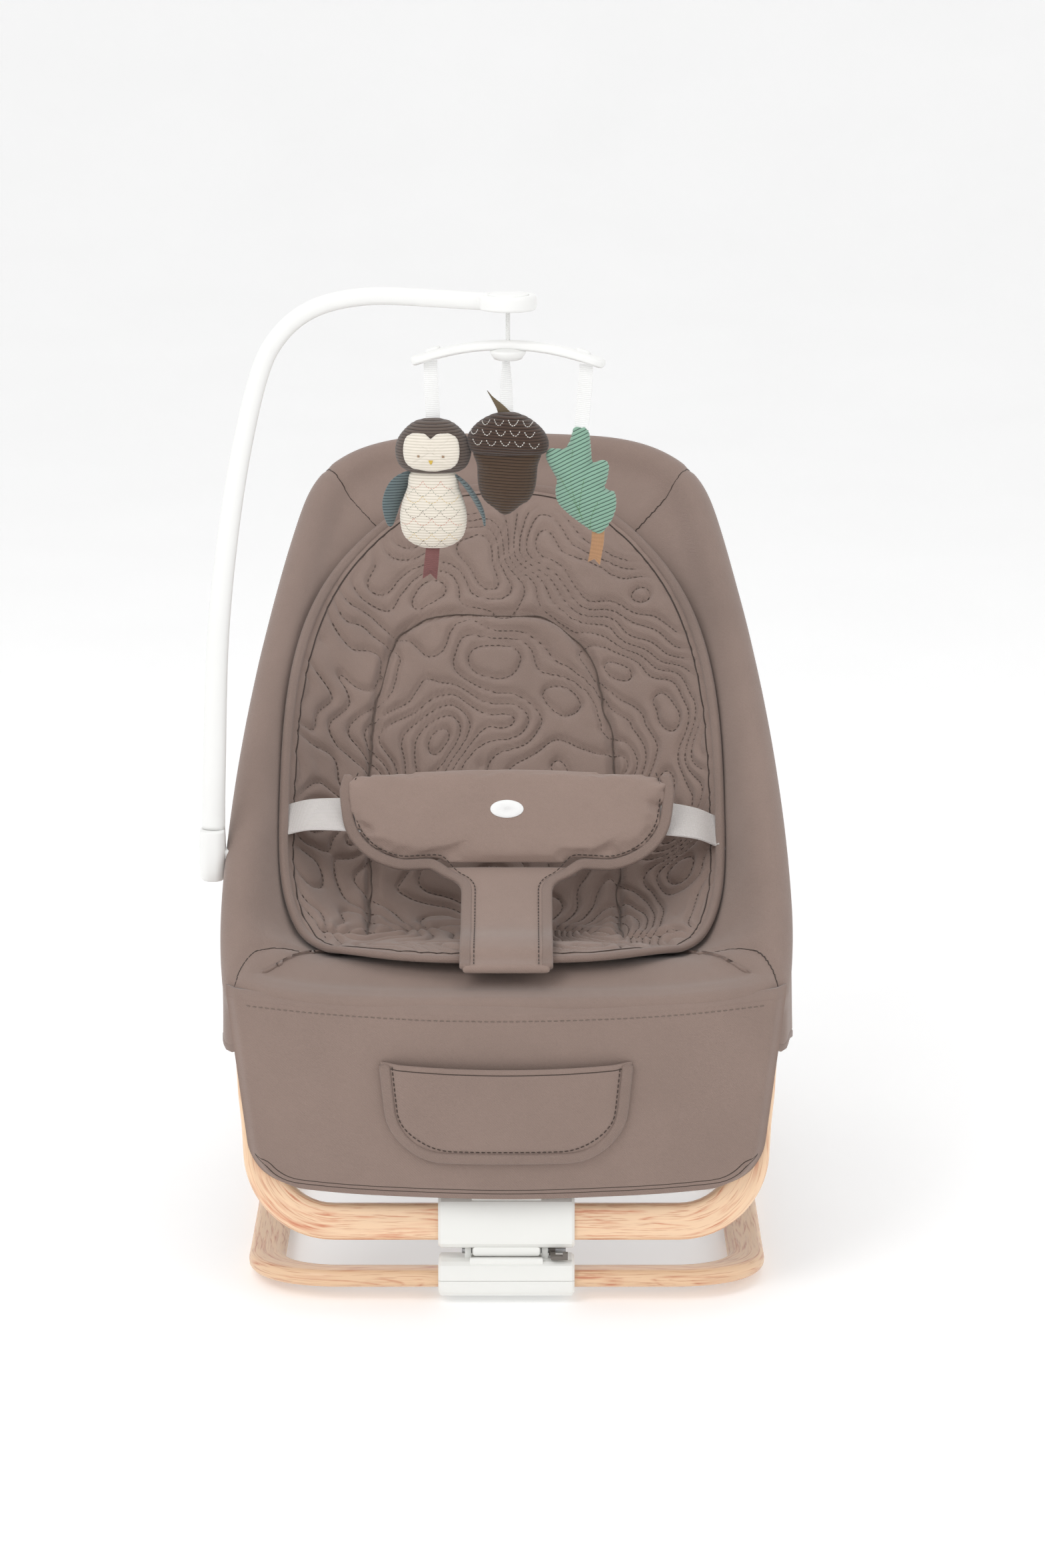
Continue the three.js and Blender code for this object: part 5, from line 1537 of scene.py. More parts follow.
def pocket_point(x, above, out):
    z = POCKET["bottom"] + above + apron_sag(x)
    base = np.stack(np.broadcast_arrays(x, apron_y(x) - 3.0 - out, z), axis=-1)
    return base


def build_pocket():
    rows, cols = 44, 80
    height = POCKET["top"] - POCKET["bottom"]
    t = np.linspace(1, 0, rows)[:, None]
    above = height * t ** 1.3
    half = rounded_half(POCKET["half"] - POCKET["taper"] * (1 - above / height),
                        POCKET["corner"], above) - 2
    u = np.linspace(-1, 1, cols)[None]
    x = half * u
    edge = np.minimum((1 - np.abs(u)) * half, above + 0.01 + 0 * u)
    gap = POCKET["depth"] - 6.0
    belly = gap * smooth(edge / 16) * (0.45 + 0.55 * (above / height) * (1 - u ** 2) ** 0.5)
    slouch = -2.0 * smooth((above / height - 0.7) / 0.3) * (1 - u ** 2)
    front = pocket_point(x, above + slouch, 2.2 + belly)
    back = pocket_point(x, above + slouch, np.maximum(belly - 0.6, 0.2))
    points, faces = slab(front, back)
    pocket = piece("pocket_panel", points, faces, taupe, "seat",
                   ("apron_pocket",))
    subdivide(pocket)
    return surface_of(front.reshape(-1, 3), grid_faces(rows, cols))


def build_pocket_trim(surface):
    flat = pocket_outline(4.0, 150)
    z = POCKET["bottom"] + flat[:, 1] + apron_sag(flat[:, 0])
    line, normals = on_apron(surface, flat[:, 0] * 0.985, z - 1.0)
    line, normals = relaxed(line, 8), turned(normals, 8)
    section = rounded_rect(9.5, 4.6, 2.1, 4)
    wrapped("pocket_binding", sweep(line, section, normals, scale=rounded_ends(line, 1.5)),
            taupe_trim, "seat")
    flat = pocket_outline(11.5, 150)
    z = POCKET["bottom"] + flat[:, 1] + apron_sag(flat[:, 0])
    inner, up = on_apron(surface, flat[:, 0], z - 2.5)
    rim_x = np.linspace(-0.96, 0.96, 90) * (POCKET["half"] - 4)
    rim_z = POCKET["top"] - 4.5 - 2.0 * (1 - (rim_x / 98) ** 2) + apron_sag(rim_x)
    edge, edge_up = on_apron(surface, rim_x, rim_z)
    add_stitches("pocket_stitches", [(inner + up * 0.3, up)], seam_thread,
                 0.5, 3.2, 1.2)
    add_cord_line("pocket_fold_line", edge, edge_up, 0.5, seam_thread, 0.2)


build_pocket_trim(build_pocket())

# ------------------------------------------------------------------ toy arm

ARM = {"x": -243, "y": 152, "top_y": 211, "wide": (19, 14.5), "deep": (15, 12)}
SOCKET = {"wide": 21.5, "deep": 28, "low": 309}
DISC = {"x": 1, "y": 211, "radius": 23.6, "low": 774.5, "high": 787, "cap": 16.8}
ARM_ROUTE = [(-242, 352.5), (-241, 400), (-237, 515), (-224, 625), (-204.5, 715), (-186, 753),
             (-156, 776), (-112, 785.4), (-55, 783.4), (-14, 780.8)]


def build_arm():
    path = spline([(x, lerp(ARM["y"], ARM["top_y"], float(smooth((z - 330) / 430))), z)
                   for x, z in ARM_ROUTE], 170)
    t = smooth(np.linspace(0, 1.1, len(path)))[:, None, None]
    section = circle(1.0, 44) * np.array([lerp(*ARM["deep"], t), lerp(*ARM["wide"], t)]).reshape(
        2, -1).T[:, None, :] / 2
    up = np.cross(unit(np.gradient(path, axis=0)), [0, 1.0, 0])
    wrapped("toy_arm_tube", sweep(path, section, up), white, "toy_arm",
            ("toy_arm",))
    rings = []
    for z, k in ((0, 0.55), (1.2, 0.78), (4, 0.94), (10, 1.0), (22, 1.0), (34, 0.985),
                 (41.5, 0.96), (43, 0.93), (43.5, 0.86)):
        base = rounded_rect(SOCKET["wide"] * k, SOCKET["deep"] * k, 8.4 * k, 8)
        rings.append(np.column_stack([base[:, 0] + ARM["x"], base[:, 1] + ARM["y"],
                                      np.full(len(base), SOCKET["low"] + z)]))
    wrapped("arm_foot", rings, white, "seat", ("toy_arm_socket",), sharp=60)
    tab = rounded_rect(14, 14, 2, 4)
    path = np.array([[x, ARM["y"], 328.5] for x in np.linspace(-238, -214, 8)])
    wrapped("arm_foot_tab", sweep(path, tab, [0, 0, 1.0]), white, "seat",
            sharp=60)


def build_disc():
    r, low, high, cap = DISC["radius"], DISC["low"], DISC["high"], DISC["cap"]
    edge = [(r - 2.6 + 2.6 * math.sin(a), low + 2.6 - 2.6 * math.cos(a))
            for a in np.linspace(0, math.pi / 2, 7)]
    rim = [(r - 3 + 3 * math.cos(a), high - 3 + 3 * math.sin(a))
           for a in np.linspace(0, math.pi / 2, 8)]
    profile = ([(2.6, low + 1.5), (3.2, low), (8, low - 0.1), (r - 5, low)] + edge + rim
               + [(cap + 1.6, high), (cap + 0.6, high - 0.4), (cap + 0.4, high - 1.4),
                  (2.6, high - 1.4)])
    points, faces = lathe(profile, DISC["x"], DISC["y"], 96)
    piece("arm_disc", points, faces, white, "toy_arm", ("arm_end_housing",),
          sharp=50)
    dome = [(0.4, high - 1.2), (cap, high - 1.2), (cap, high - 0.2), (cap - 0.5, high + 0.4),
            (cap - 2, high + 0.8), (cap * 0.6, high + 1.1), (cap * 0.3, high + 1.25),
            (0.4, high + 1.3)]
    points, faces = lathe(dome, DISC["x"], DISC["y"], 96)
    piece("arm_disc_cap", points, faces, white, "toy_arm", ("arm_end_cap",),
          sharp=50)


build_arm()
build_disc()

# ------------------------------------------------------------------ hanging bar and its cord

BAR = {"half": 80, "top": 749.5, "drop": 15, "height": 8, "depth": 14, "end_depth": 22,
       "turn": math.radians(-6), "clip": 62}
CORD = {"top": 781.5, "bottom": 744.8, "radius": 1.9}


def on_mobile(points):
    """Points drawn about the cord, x along the bar, turned to the bar's direction."""
    points = np.asarray(points, float)
    c, s = math.cos(BAR["turn"]), math.sin(BAR["turn"])
    return np.stack([DISC["x"] + points[..., 0] * c - points[..., 1] * s,
                     DISC["y"] + points[..., 0] * s + points[..., 1] * c,
                     points[..., 2]], axis=-1)


def bar_drop(x):
    return BAR["drop"] * (x / BAR["half"]) ** 2


def build_bar():
    t = np.sin(np.linspace(-math.pi / 2, math.pi / 2, 101))
    x = BAR["half"] * t
    path = np.stack([x, 0 * x, BAR["top"] - BAR["height"] / 2 - bar_drop(x)], axis=1)
    tip = np.sqrt(np.clip(1 - (np.maximum(0, np.abs(t) - 0.86) / 0.14) ** 2, 0.004, 1))
    depth = lerp(BAR["depth"], BAR["end_depth"], smooth((np.abs(t) - 0.35) / 0.45)) * tip
    high = BAR["height"] * np.sqrt(np.clip(1 - (np.maximum(0, np.abs(t) - 0.955) / 0.045) ** 2,
                                           0.05, 1))
    base = rounded_rect(2, 2, 0.75, 8)
    section = base[None] * np.stack([depth / 2, high / 2], axis=1)[:, None, :]
    points, faces, uvs = skin(sweep(path, section, [0, 0, 1.0]))
    piece("hanging_bar", on_mobile(points), faces, white, "mobile",
          ("mobile_bar",), uvs)
    top = BAR["top"] - BAR["height"]
    dish = [(2.6, top - 6.5), (3.4, top - 8), (9.6, top - 8), (11.2, top - 7.4),
            (13.4, top - 4.6), (14.6, top - 2.2), (14.8, top - 1.4), (14.5, top - 0.4),
            (13.8, top), (8, top + 1.6), (2.6, top + 1.8)]
    points, faces = lathe(dish, DISC["x"], DISC["y"], 80)
    piece("bar_dish", points, faces, white, "mobile", sharp=50)
    for s in (-1, 1):
        z = BAR["top"] - bar_drop(BAR["clip"] + 2)
        rings = []
        for up, k in ((-2.5, 1.0), (0.4, 1.0), (1.9, 0.97), (2.6, 0.9), (2.9, 0.78)):
            flat = rounded_rect(12 - 2 * (1 - k) * 6, 8 - 2 * (1 - k) * 6, 2.4 * k, 6)
            rings.append(np.column_stack([flat[:, 0] + s * BAR["clip"], flat[:, 1],
                                          np.full(len(flat), z + up)]))
        points, faces, uvs = skin(rings)
        tilt = -2 * BAR["drop"] * s * BAR["clip"] / BAR["half"] ** 2
        points[:, 2] += tilt * (points[:, 0] - s * BAR["clip"])
        piece("bar_clip_%d" % (s > 0), on_mobile(points), faces, white, "mobile",
              uvs=uvs, sharp=60)


def build_cord():
    """A braid: eight strands woven in two directions round the cord's middle."""
    height = CORD["top"] - CORD["bottom"]
    z = np.linspace(0, height, 150)
    a = np.linspace(0, 2 * math.pi, 48, endpoint=False)
    turns = 2 * math.pi * z[:, None] / 7.5
    weave = np.maximum(np.cos(4 * (a[None] + turns)), np.cos(4 * (a[None] - turns)))
    radius = CORD["radius"] - 0.3 + 0.3 * weave
    rings = np.stack([DISC["x"] + radius * np.cos(a), DISC["y"] + radius * np.sin(a),
                      CORD["top"] - z[:, None] + 0 * radius], axis=-1)
    cord = wrapped("hanger_braid", rings, braid, "hanger", ("hanger_cord",))


build_bar()
build_cord()

# ------------------------------------------------------------------ ribbons

maroon = tape("maroon_ribbon", srgb(132, 88, 86), 620)
tan = tape("tan_satin", srgb(176, 134, 98), 300, depth=0.0001, rough=0.45)


def ribbon(name, path, half, turn, material, body, node_name, notch=0.0):
    """A thin ribbon down a path: turn, in degrees, twists it about its length at each end."""
    path = spline(path, 60)
    along = unit(np.gradient(path, axis=0))
    twist = np.radians(lerp(turn[0], turn[1], np.linspace(0, 1, 60) ** 0.8))[:, None]
    across = np.hstack([np.cos(twist), np.sin(twist), 0 * twist])
    across = squared(across, along)
    normal = np.cross(along, across)
    u = np.linspace(-1, 1, 11)
    wide = lerp(half[0], half[1], smooth(np.linspace(0, 1.6, 60)))[:, None, None]
    cut = notch * (1 - np.abs(u)) * smooth((np.linspace(0, 1, 60) - 0.7) / 0.3)[:, None]
    curl = 0.5 * (1 - u ** 2)[None, :, None] * normal[:, None]
    face = (path[:, None] + u[None, :, None] * wide * across[:, None] + curl
            - along[:, None] * cut[..., None])
    front, back = face + normal[:, None] * 0.4, face - normal[:, None] * 0.4
    points, faces = slab(front, back)
    length = line_length(path)
    uv = np.stack([np.repeat(np.linspace(0, length * MM, 60), 11),
                   np.tile(u * half[1] * MM, 60)], axis=1)
    uv = np.vstack([uv, uv])
    uvs = [tuple(uv[i]) for f in faces for i in f]
    obj = piece(name, on_mobile(points), faces, material, body, (node_name,), uvs, 50)
    return obj


ribbon("owl_loop_ribbon", [(-64, 0, 732), (-63.4, -0.5, 712), (-62, 0, 683)], (5.6, 5.9),
       (4, 8), white_ribbon, "owl", "owl_ribbon")
ribbon("acorn_loop_ribbon", [(-1.6, 0, 736.5), (-1.4, 0.5, 714), (-0.8, 0, 688)], (5.0, 5.4),
       (74, 6), white_ribbon, "acorn", "acorn_ribbon")
ribbon("leaf_loop_ribbon", [(64.5, 0, 730.5), (63, 0.5, 706), (60.5, 0, 677)], (5.6, 5.9),
       (-4, -8), white_ribbon, "leaf", "leaf_ribbon")
ribbon("owl_tail_ribbon", [(-62.3, 0, 579), (-63.5, -1.5, 565), (-65.3, -0.5, 549.5)],
       (5.6, 5.9), (0, 10), maroon, "owl", "owl_tail", notch=5.0)
ribbon("leaf_tail_ribbon", [(74.8, 0, 593), (74.2, -1, 582), (71.4, -0.5, 565.5)],
       (5.2, 5.2), (0, -14), tan, "leaf", "leaf_tail", notch=4.0)

# ------------------------------------------------------------------ plush toys


PLUSH_SWELL = 2.4
RIB_WAVE = 14.0


def plush(name, centre, outline_points, depth, material, body, nodes, y=0.0, count=96):
    """A stuffed shape from its outline (x, z) about its centre, sewn round the edge."""
    flat = spline(outline_points, count, closed=True)
    rings_front, rings_back = [], []
    for r in (1.0, 0.97, 0.9, 0.8, 0.66, 0.5, 0.32, 0.14):
        rise = depth / 2 * (1 - r ** PLUSH_SWELL) ** 0.5 + 0.5
        ring = centre + (flat - centre) * r
        rings_front.append(np.stack([ring[:, 0], np.full(count, y - rise), ring[:, 1]], axis=1))
        rings_back.append(np.stack([ring[:, 0], np.full(count, y + rise), ring[:, 1]], axis=1))
    points, faces, _ = skin(rings_back[::-1] + rings_front)
    obj = piece(name, on_mobile(points), faces, material, body, nodes)
    inflate(obj, 2.2, 2.0, 2.0)
    return obj


def ribbed(obj, direction, pitch, depth, bend):
    """Corduroy ribs raised across a direction, in millimetres."""
    subdivide(obj)
    mesh = obj.data
    spots = np.empty(len(mesh.vertices) * 3, np.float32)
    mesh.vertices.foreach_get("co", spots)
    spots = spots.reshape(-1, 3)
    normals = np.array([v.normal for v in mesh.vertices])
    local = (spots - ORIGIN) / MM
    c, s = math.cos(-BAR["turn"]), math.sin(-BAR["turn"])
    flat_x = (local[:, 0] - DISC["x"]) * c - (local[:, 1] - DISC["y"]) * s
    run = flat_x * direction[0] + local[:, 2] * direction[1]
    run = run + bend * np.sin(flat_x / RIB_WAVE)
    rib = np.abs(np.sin(run * math.pi / pitch)) ** 0.7
    spots = spots + normals * (rib[:, None] - 0.6) * depth * MM
    mesh.vertices.foreach_set("co", spots.astype(np.float32).ravel())
    mesh.update()
    return obj


def rib_cloth(name, colour, groove, direction, pitch, bend):
    """Corduroy with painted shade in the grooves between the raised ribs and a slight painted
    highlight on their crests.
    """
    material, tree, shader = new_material(name, 0.92, Sheen_Weight=0.3, Sheen_Roughness=0.5,
                                          Specular_IOR_Level=0.2)
    where = place(tree)
    c, s = math.cos(BAR["turn"]), math.sin(BAR["turn"])
    middle = to_row([DISC["x"], DISC["y"], 0])
    off = node(tree, "VectorMath", {0: where, 1: tuple(middle)}, operation="SUBTRACT")
    axis = (direction[0] * c, direction[0] * s, direction[1])
    run = node(tree, "VectorMath", {0: off.outputs["Vector"], 1: axis}, operation="DOT_PRODUCT")
    flat = node(tree, "VectorMath", {0: off.outputs["Vector"], 1: (c, s, 0)},
                operation="DOT_PRODUCT")
    phase = times(tree, flat.outputs["Value"], 1 / (RIB_WAVE * MM))
    sway = times(tree, maths(tree, "SINE", phase), bend * MM)
    turn = times(tree, plus(tree, run.outputs["Value"], sway),
                 math.pi / (pitch * MM))
    rib = maths(tree, "ABSOLUTE", maths(tree, "SINE", turn))
    fuzz = grain(tree, where, 2600.0, 2.0)
    level = plus(tree, rib, times(tree, fuzz, 0.3))
    # The groove colour is painted shade in the valleys between ribs; the lighter top stop is a
    # painted highlight on the rib crests.
    tint = ramp(tree, level, [(0.28, groove), (0.62, colour), (1.0, shade(colour, 1.08))])
    feed(tree, shader, Base_Color=tint)
    relief = plus(tree, fuzz, times(tree, rib, 0.3))
    feed(tree, shader, Normal=bump(tree, relief, 0.0006, 0.8))
    return material


UP, SLANT = (0.0, 1.0), (-0.42, 0.91)
# Each corduroy's second colour is the painted shade in its rib grooves.
head_cord = rib_cloth("owl_head_cord", srgb(100, 88, 81), srgb(58, 48, 44), UP, 2.45, 0.6)
cream_cord = rib_cloth("cream_cord", srgb(238, 230, 217), srgb(216, 206, 189), UP, 2.4, 0.4)
brown_cord = rib_cloth("brown_cord", srgb(84, 66, 52), srgb(32, 23, 18), UP, 2.5, 0.8)
cap_cord = rib_cloth("cap_cord", srgb(76, 59, 50), srgb(32, 23, 20), UP, 2.45, 0.8)
leaf_cord = rib_cloth("leaf_cord", srgb(140, 176, 156), srgb(52, 78, 69), SLANT, 3.0, 1.0)
wing_cord = rib_cloth("wing_cord", srgb(108, 122, 124), srgb(44, 52, 58), UP, 2.4, 0.4)
olive = cloth("olive_felt", srgb(112, 98, 78))
THREAD_COLOURS = {"coral": (206, 128, 108), "yellow": (214, 182, 84), "sage": (132, 140, 124),
                  "bark": (112, 96, 84), "white": (232, 230, 224), "green": (92, 132, 74),
                  "tan": (168, 142, 116)}
THREADS = {name: cloth(name + "_thread", srgb(*colour), fleck=0.03 if name == "white" else 0.05)
           for name, colour in THREAD_COLOURS.items()}

OWL = {"x": -62, "head": 661.5, "body": 608.6}
OWL_HEAD = [(0, 23.1), (15.7, 19.8), (27.3, 9), (31.6, -2.3), (30, -13), (25, -19.5), (13, -23.5)]
OWL_BODY = [(16.5, 32), (21.5, 18), (26.5, 4), (28, -9), (24.5, -23), (14, -31)]
FACE = [(4, 11), (11, 12.3), (18, 10.5), (22, 6), (23.3, -3.5), (21.5, -12), (16, -17),
        (6, -19.2)]


def mirrored(half, centre, top=None, bottom=None):
    """A closed outline from its right half, top and bottom points."""
    right = ([top] if top else []) + list(half)
    left = [(-x, z) for x, z in (half[1:] if half[0][0] == 0 else half)][::-1]
    points = right + ([bottom] if bottom else []) + left
    return np.array([(x + centre[0], z + centre[1]) for x, z in points], float)


def front_spots(surface, flat, lift):
    """Points (x, z) of the mobile dropped back onto a toy's front."""
    spots, normals = [], []
    ahead = on_mobile([0, 1, 0]) - on_mobile([0, 0, 0])
    for x, z in flat:
        start = on_mobile([x, -60.0, z])
        spot, normal, _, _ = surface.ray_cast(Vector(start), Vector(ahead))
        if spot is None:
            spot, normal, _, _ = surface.find_nearest(Vector(on_mobile([x, -6, z])))
        normal = np.array(normal)
        normal *= -(np.sign(normal @ ahead) or 1)
        spots.append(np.array(spot) + normal * lift)
        normals.append(normal)
    return np.array(spots), np.array(normals)


def sew(name, surface, flats, thread, body, radius, length, gap):
    """Stitches through lists of (x, z) points on a toy's front."""
    lines = [front_spots(surface, resample(np.array(f, float), 24), 0.15) for f in flats]
    points, faces = dashes(lines, radius, length, gap)
    piece(name, points, faces, THREADS[thread], body)


def build_owl():
    head_centre, body_centre = (OWL["x"], OWL["head"]), (OWL["x"], OWL["body"])
    body = plush("owl_body_plush", body_centre, mirrored(OWL_BODY, body_centre,
                                                          bottom=(0, -33.3)),
                 27, cream_cord, "owl", ("owl_body",))
    ribbed(body, UP, 2.4, 0.35, 0.4)
    head = plush("owl_head_plush", head_centre, mirrored(OWL_HEAD, head_centre,
                                                          bottom=(0, -24.5)),
                 31, head_cord, "owl", ("owl_head",))
    ribbed(head, UP, 2.45, 0.5, 0.6)
    build_face(mesh_surface(head), head_centre)
    build_scallops(mesh_surface(body))
    for side, route, turn in (("left", [(-80, 639), (-90, 629), (-96.5, 615), (-98, 603),
                                        (-98, 592.5)], 35),
                              ("right", [(-46, 639), (-35, 628.5), (-26.5, 616), (-21, 604),
                                         (-19.5, 594.5)], 78)):
        build_wing(side, route, turn)


def build_wing(side, route, turn):
    path = spline([(x, 1.5, z) for x, z in route], 34)
    along = unit(np.gradient(path, axis=0))
    t = np.linspace(0, 1, len(path))
    a = math.radians(turn) * (1 if side == "left" else -1)
    wide = np.array([math.cos(a), math.sin(a), 0])
    across = unit(wide - along * (along @ wide)[:, None])
    thick = np.cross(along, across)
    half = 1.2 + 8.6 * np.sin(math.pi * np.clip(t, 0, 1) ** 0.75) ** 0.7
    half[-1] = 0.8
    depth = np.clip(0.7 + 1.9 * np.sin(math.pi * t), 0.6, 2.4)
    base = circle(1.0, 28)
    rings = (path[:, None] + base[None, :, :1] * half[:, None, None] * across[:, None]
             + base[None, :, 1:] * depth[:, None, None] * thick[:, None])
    points, faces, uvs = skin(rings)
    obj = piece("owl_%s_wing" % side, on_mobile(points), faces, wing_cord, "owl",
                ("owl_wing_" + side,), uvs)
    subdivide(obj)
    ribbed(obj, UP, 2.4, 0.3, 0.4)


def build_face(surface, centre):
    edge = spline(mirrored(FACE, centre, top=(0, 7.9), bottom=(0, -19.5)), 120, closed=True)
    middle = np.array([centre[0], centre[1] - 3])
    rings = []
    for r, lift in ((1.0, 0.1), (0.985, 0.9), (0.93, 1.2), (0.8, 1.2), (0.6, 1.2), (0.4, 1.2),
                    (0.2, 1.2), (0.03, 1.2)):
        spots, _ = front_spots(surface, middle + (edge - middle) * r, lift)
        rings.append(spots)
    points, faces, uvs = skin(rings)
    face = piece("owl_face_patch", points, faces, cream_cord, "owl", uvs=uvs)
    ribbed(face, UP, 2.4, 0.3, 0.4)
    patch = mesh_surface(face)
    x, z = centre
    edge_in = middle + (edge - middle) * 0.955
    sew("owl_face_stitches", patch, [np.vstack([edge_in, edge_in[:1]])[k:k + 21]
                                     for k in range(0, 120, 20)],
        "white", "owl", 0.2, 1.1, 0.8)
    eyes = [[(x + s * 10.2 + a, z - 6.6 + b), (x + s * 10.2 + c, z - 6.6 + d)]
            for s in (-1, 1) for a, b, c, d in ((-1.1, 1, 1.1, -1), (-1.1, -1, 1.1, 1),
                                                (-1.3, 0, 1.3, 0), (0, 1.2, 0, -1.2))]
    sew("owl_eyes", patch, eyes, "tan", "owl", 0.3, 3.0, 0.1)
    beak = [[(x + k * 0.42, z - 9.8), (x + k * 0.07, z - 13.6)]
            for k in range(-4, 5)]
    sew("owl_beak", patch, beak, "yellow", "owl", 0.32, 4.0, 0.1)


def build_scallops(surface):
    rows = [(633.4, "coral"), (627.4, "sage"), (621.4, "yellow"), (615.2, "sage"),
            (609, "bark"), (602.8, "coral"), (596.4, "sage"), (590, "yellow"), (583.8, "bark")]
    found = {}
    for i, (z, thread) in enumerate(rows):
        shift = 7.4 if i % 2 else 0.0
        for k in range(-3, 4):
            middle = OWL["x"] + k * 14.8 + shift
            arc = [(middle + 7.4 * t, z - 6.0 * (1 - abs(t) ** 2.2)) for t in
                   np.linspace(-1, 1, 17)]
            widest = np.interp(z - 3, (575, 584, 598, 610, 625, 640), (3, 21, 25.5, 25, 20, 14))
            arc = [q for q in arc if abs(q[0] - OWL["x"]) < widest]
            if len(arc) > 4:
                found.setdefault(thread, []).append(arc)
    for thread, arcs in found.items():
        sew("owl_scallops_" + thread, surface, arcs, thread, "owl", 0.2, 1.5,
            0.8)


ACORN_CAP = [(-33.6, 670), (-33.2, 663), (-29.5, 656.5), (-20, 654), (0, 653), (20, 654),
             (30.5, 656.5), (33.9, 663), (32, 671.5), (25.5, 679.5), (15.5, 686.5), (4, 690.3),
             (-6, 690.3), (-17.5, 686.3), (-27.5, 679.2)]
ACORN_NUT = [(-25.6, 662), (-25.6, 645), (-24.8, 629), (-20.5, 617.5), (-12, 610.5), (-3, 604.3),
             (5, 608), (10, 612.5), (18, 617.7), (22.6, 628), (24.4, 645), (24.4, 662)]
STEM = [(-6.6, 688), (-9.6, 694), (-13.4, 701.5), (-17, 708.6), (-12, 703), (-5, 697.3),
        (-0.5, 693), (3.2, 688)]


def build_acorn():
    nut = plush("acorn_nut_plush", (-0.6, 634), ACORN_NUT, 27, brown_cord, "acorn",
                ("acorn_nut",), y=1.0)
    ribbed(nut, UP, 2.5, 0.55, 0.8)
    cap = plush("acorn_cap_plush", (0, 671), ACORN_CAP, 34, cap_cord, "acorn",
                ("acorn_cap",))
    ribbed(cap, UP, 2.45, 0.5, 0.8)
    flats = []
    for z, first, count in ((683.4, -17.6, 4), (675.4, -27.4, 5), (667.0, -23.6, 5)):
        for k in range(count):
            middle = first + 11.7 * k
            drop = -0.0022 * max(middle, 0) ** 2.2
            flats.append([(middle + 4.1 * t, z + drop + 2.2 - 4.6 * (1 - t * t))
                          for t in np.linspace(-1, 1, 13)])
    sew("acorn_stitches", mesh_surface(cap), flats, "white", "acorn", 0.36,
        1.45, 0.55)
    edge = spline(STEM, 60, closed=True)
    middle = np.array([-6, 694.0])
    rings = []
    for r, rise in ((1.0, 0.3), (0.9, 0.8), (0.6, 1.0), (0.3, 1.0), (0.05, 1.0)):
        ring = middle + (edge - middle) * r
        fold = 0.16 * (ring[:, 1] - 688)
        rings.append(np.stack([ring[:, 0], -rise - fold, ring[:, 1]], axis=1))
    back = [ring * [1, -1, 1] for ring in rings[::-1]]
    for ring in back:
        ring[:, 1] = ring[:, 1] - 2 * 0.16 * (ring[:, 2] - 688)
    points, faces, uvs = skin(back + rings)
    piece("acorn_stem", on_mobile(points), faces, olive, "acorn", uvs=uvs)


LEAF = [(53.9, 679), (59.6, 680), (66, 677.7), (69.6, 658), (70.4, 649), (75.3, 651.3),
        (81, 652.4), (84.6, 649), (83.9, 637.7), (81.4, 629), (82.4, 624.4), (87.4, 626),
        (90, 622.7), (90.3, 613.4), (86.7, 602), (78.1, 590.6), (73.1, 589.9), (62.4, 596.3),
        (51, 604.9), (41, 614.9), (38.1, 626), (39, 634), (35.3, 642), (30.7, 652),
        (31, 658.4), (35.3, 661.3), (46, 662), (51, 670.6)]
VEINS = [[(54.3, 661), (52.5, 643), (55, 624), (63, 603), (73, 591)],
         [(43, 639.5), (51, 626), (59, 611), (63, 601)],
         [(64, 638), (60.5, 620), (60, 608)], [(75, 618), (70, 606), (68, 594)]]


def build_leaf():
    leaf = plush("leaf_plush", (61, 632), LEAF, 15, leaf_cord, "leaf",
                 ("leaf_body",), count=140)
    ribbed(leaf, SLANT, 3.0, 0.6, 1.0)
    sew("leaf_veins", mesh_surface(leaf), [spline(v, 24) for v in VEINS], "green", "leaf",
        0.22, 1.6, 0.8)


build_owl()
build_acorn()
build_leaf()

# ------------------------------------------------------------------ floor, light and camera

# Metres and watts. The floor is a round bowl: flat, then curving up to a wall.
BOWL_FLOOR = {"flat": 5.0, "curve": 2.5, "top": 7.0, "around": 72, "glow": 0.24}
LIT_POINT = (0, 0, 0.35)
WORLD_STRENGTH = 0.46
CAMERA = {"lens": 102.55, "sensor": 36, "at": (0.0225, -3.7025, 1.249), "down": 13.5}


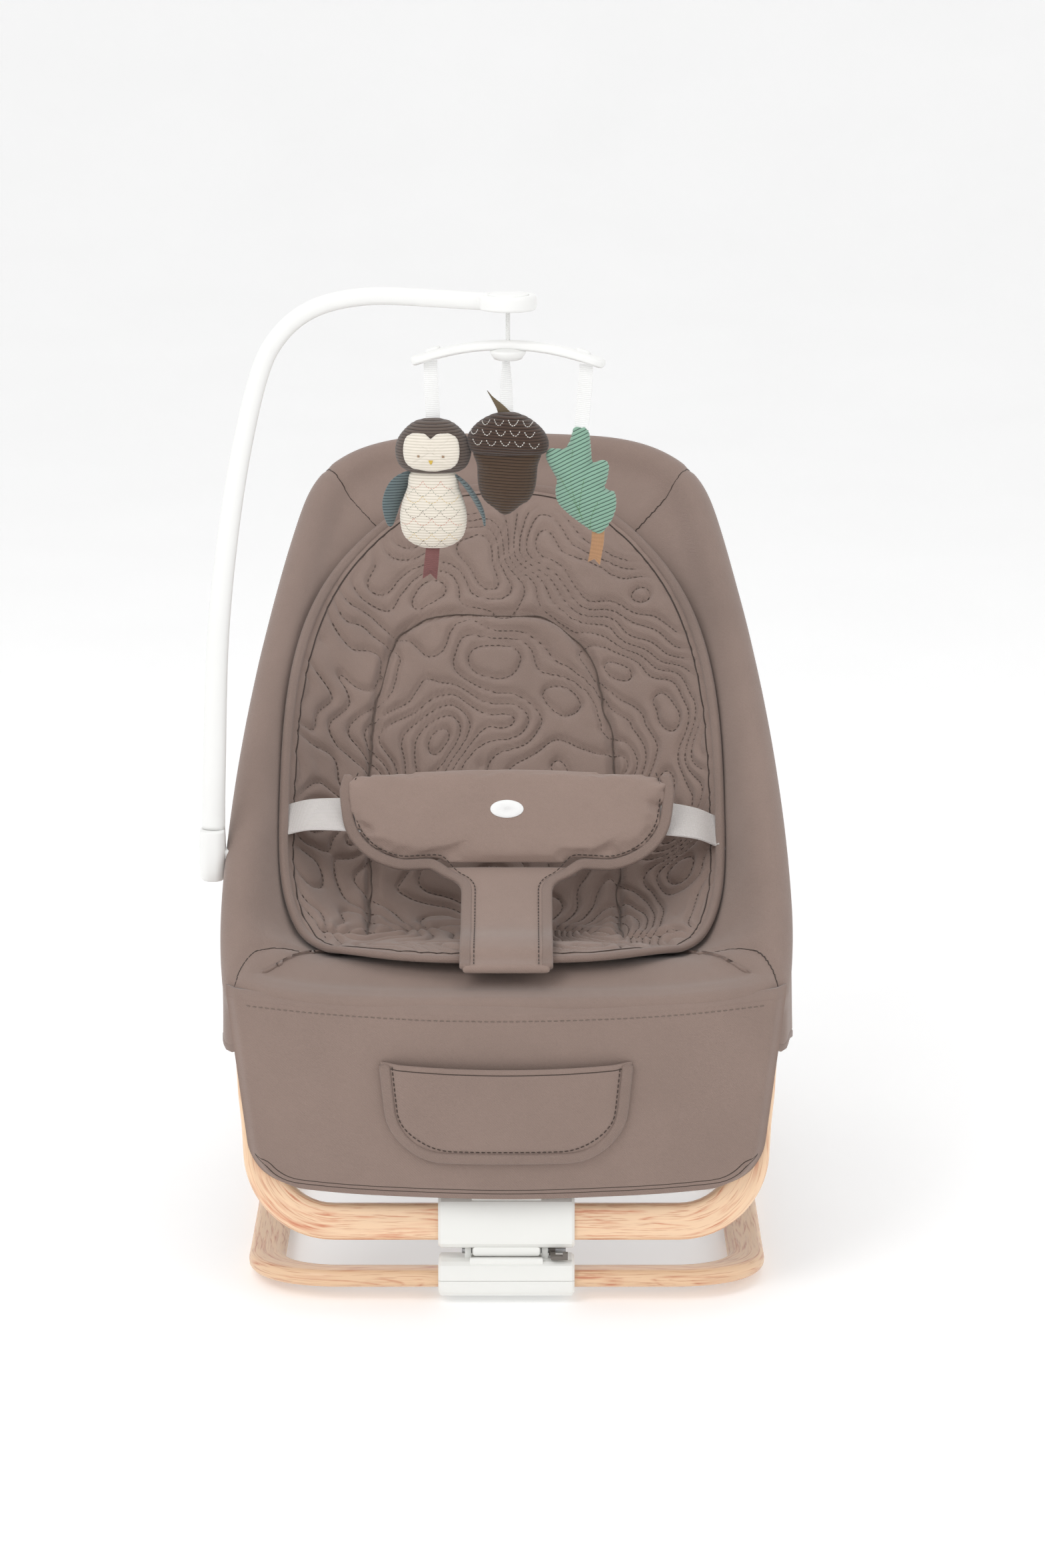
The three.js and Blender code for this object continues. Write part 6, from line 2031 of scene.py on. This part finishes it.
def build_stage():
    mesh = bpy.data.meshes.new("floor")
    flat, curve, around = BOWL_FLOOR["flat"], BOWL_FLOOR["curve"], BOWL_FLOOR["around"]
    profile = [(0.5, 0), (2, 0), (flat, 0)] + [
        (flat + curve * math.sin(a), curve * (1 - math.cos(a)))
        for a in np.linspace(0.1, math.pi / 2, 14)] + [(flat + curve, BOWL_FLOOR["top"])]
    turn = np.linspace(0, 2 * math.pi, around, endpoint=False)
    points = [(r * math.cos(a), r * math.sin(a), z) for r, z in profile for a in turn]
    faces = [tuple(reversed(f)) for f in grid_faces(len(profile), around, wrap=True)]
    faces.append(tuple(range(around)))
    mesh.from_pydata(points, [], faces)
    shade_smooth(mesh)
    material, tree, shader = new_material("pale_floor", 0.55, Specular_IOR_Level=0.2,
                                          Emission_Color=(1, 1, 1, 1),
                                          Emission_Strength=BOWL_FLOOR["glow"])
    cloud = grain(tree, place(tree), 3.0, 2.0)
    tint = ramp(tree, cloud, [(0.3, (0.9, 0.9, 0.9, 1)), (0.7, (0.92, 0.92, 0.92, 1))])
    feed(tree, shader, Base_Color=tint)
    mesh.materials.append(material)
    added("floor", mesh)


def add_light(name, place_at, size, power):
    data = bpy.data.lights.new(name, "AREA")
    data.shape = "RECTANGLE"
    data.size, data.size_y = size
    data.energy = power
    obj = added(name, data)
    obj.location = place_at
    direction = Vector(LIT_POINT) - Vector(place_at)
    obj.rotation_euler = direction.to_track_quat("-Z", "Y").to_euler()


def build_light():
    world = bpy.data.worlds.new("studio")
    world.use_nodes = True
    background = world.node_tree.nodes["Background"]
    background.inputs["Color"].default_value = (1, 1, 1, 1)
    background.inputs["Strength"].default_value = WORLD_STRENGTH
    bpy.context.scene.world = world
    add_light("key_softbox", (-1.5, -2.0, 2.6), (1.6, 1.6), 28)
    add_light("fill_softbox", (2.2, -1.6, 1.6), (1.6, 1.8), 6)
    add_light("top_softbox", (0, 0.3, 2.9), (2.2, 2.2), 19)


def build_camera():
    data = bpy.data.cameras.new("camera")
    data.sensor_fit = "VERTICAL"
    data.sensor_height, data.lens = CAMERA["sensor"], CAMERA["lens"]
    camera = added("camera", data)
    camera.location = CAMERA["at"]
    camera.rotation_euler = (math.radians(90 - CAMERA["down"]), 0, 0)
    bpy.context.scene.camera = camera


build_stage()
build_light()
build_camera()
bpy.context.scene.view_settings.view_transform = "Standard"

bpy.data.scenes.remove(BENCH)
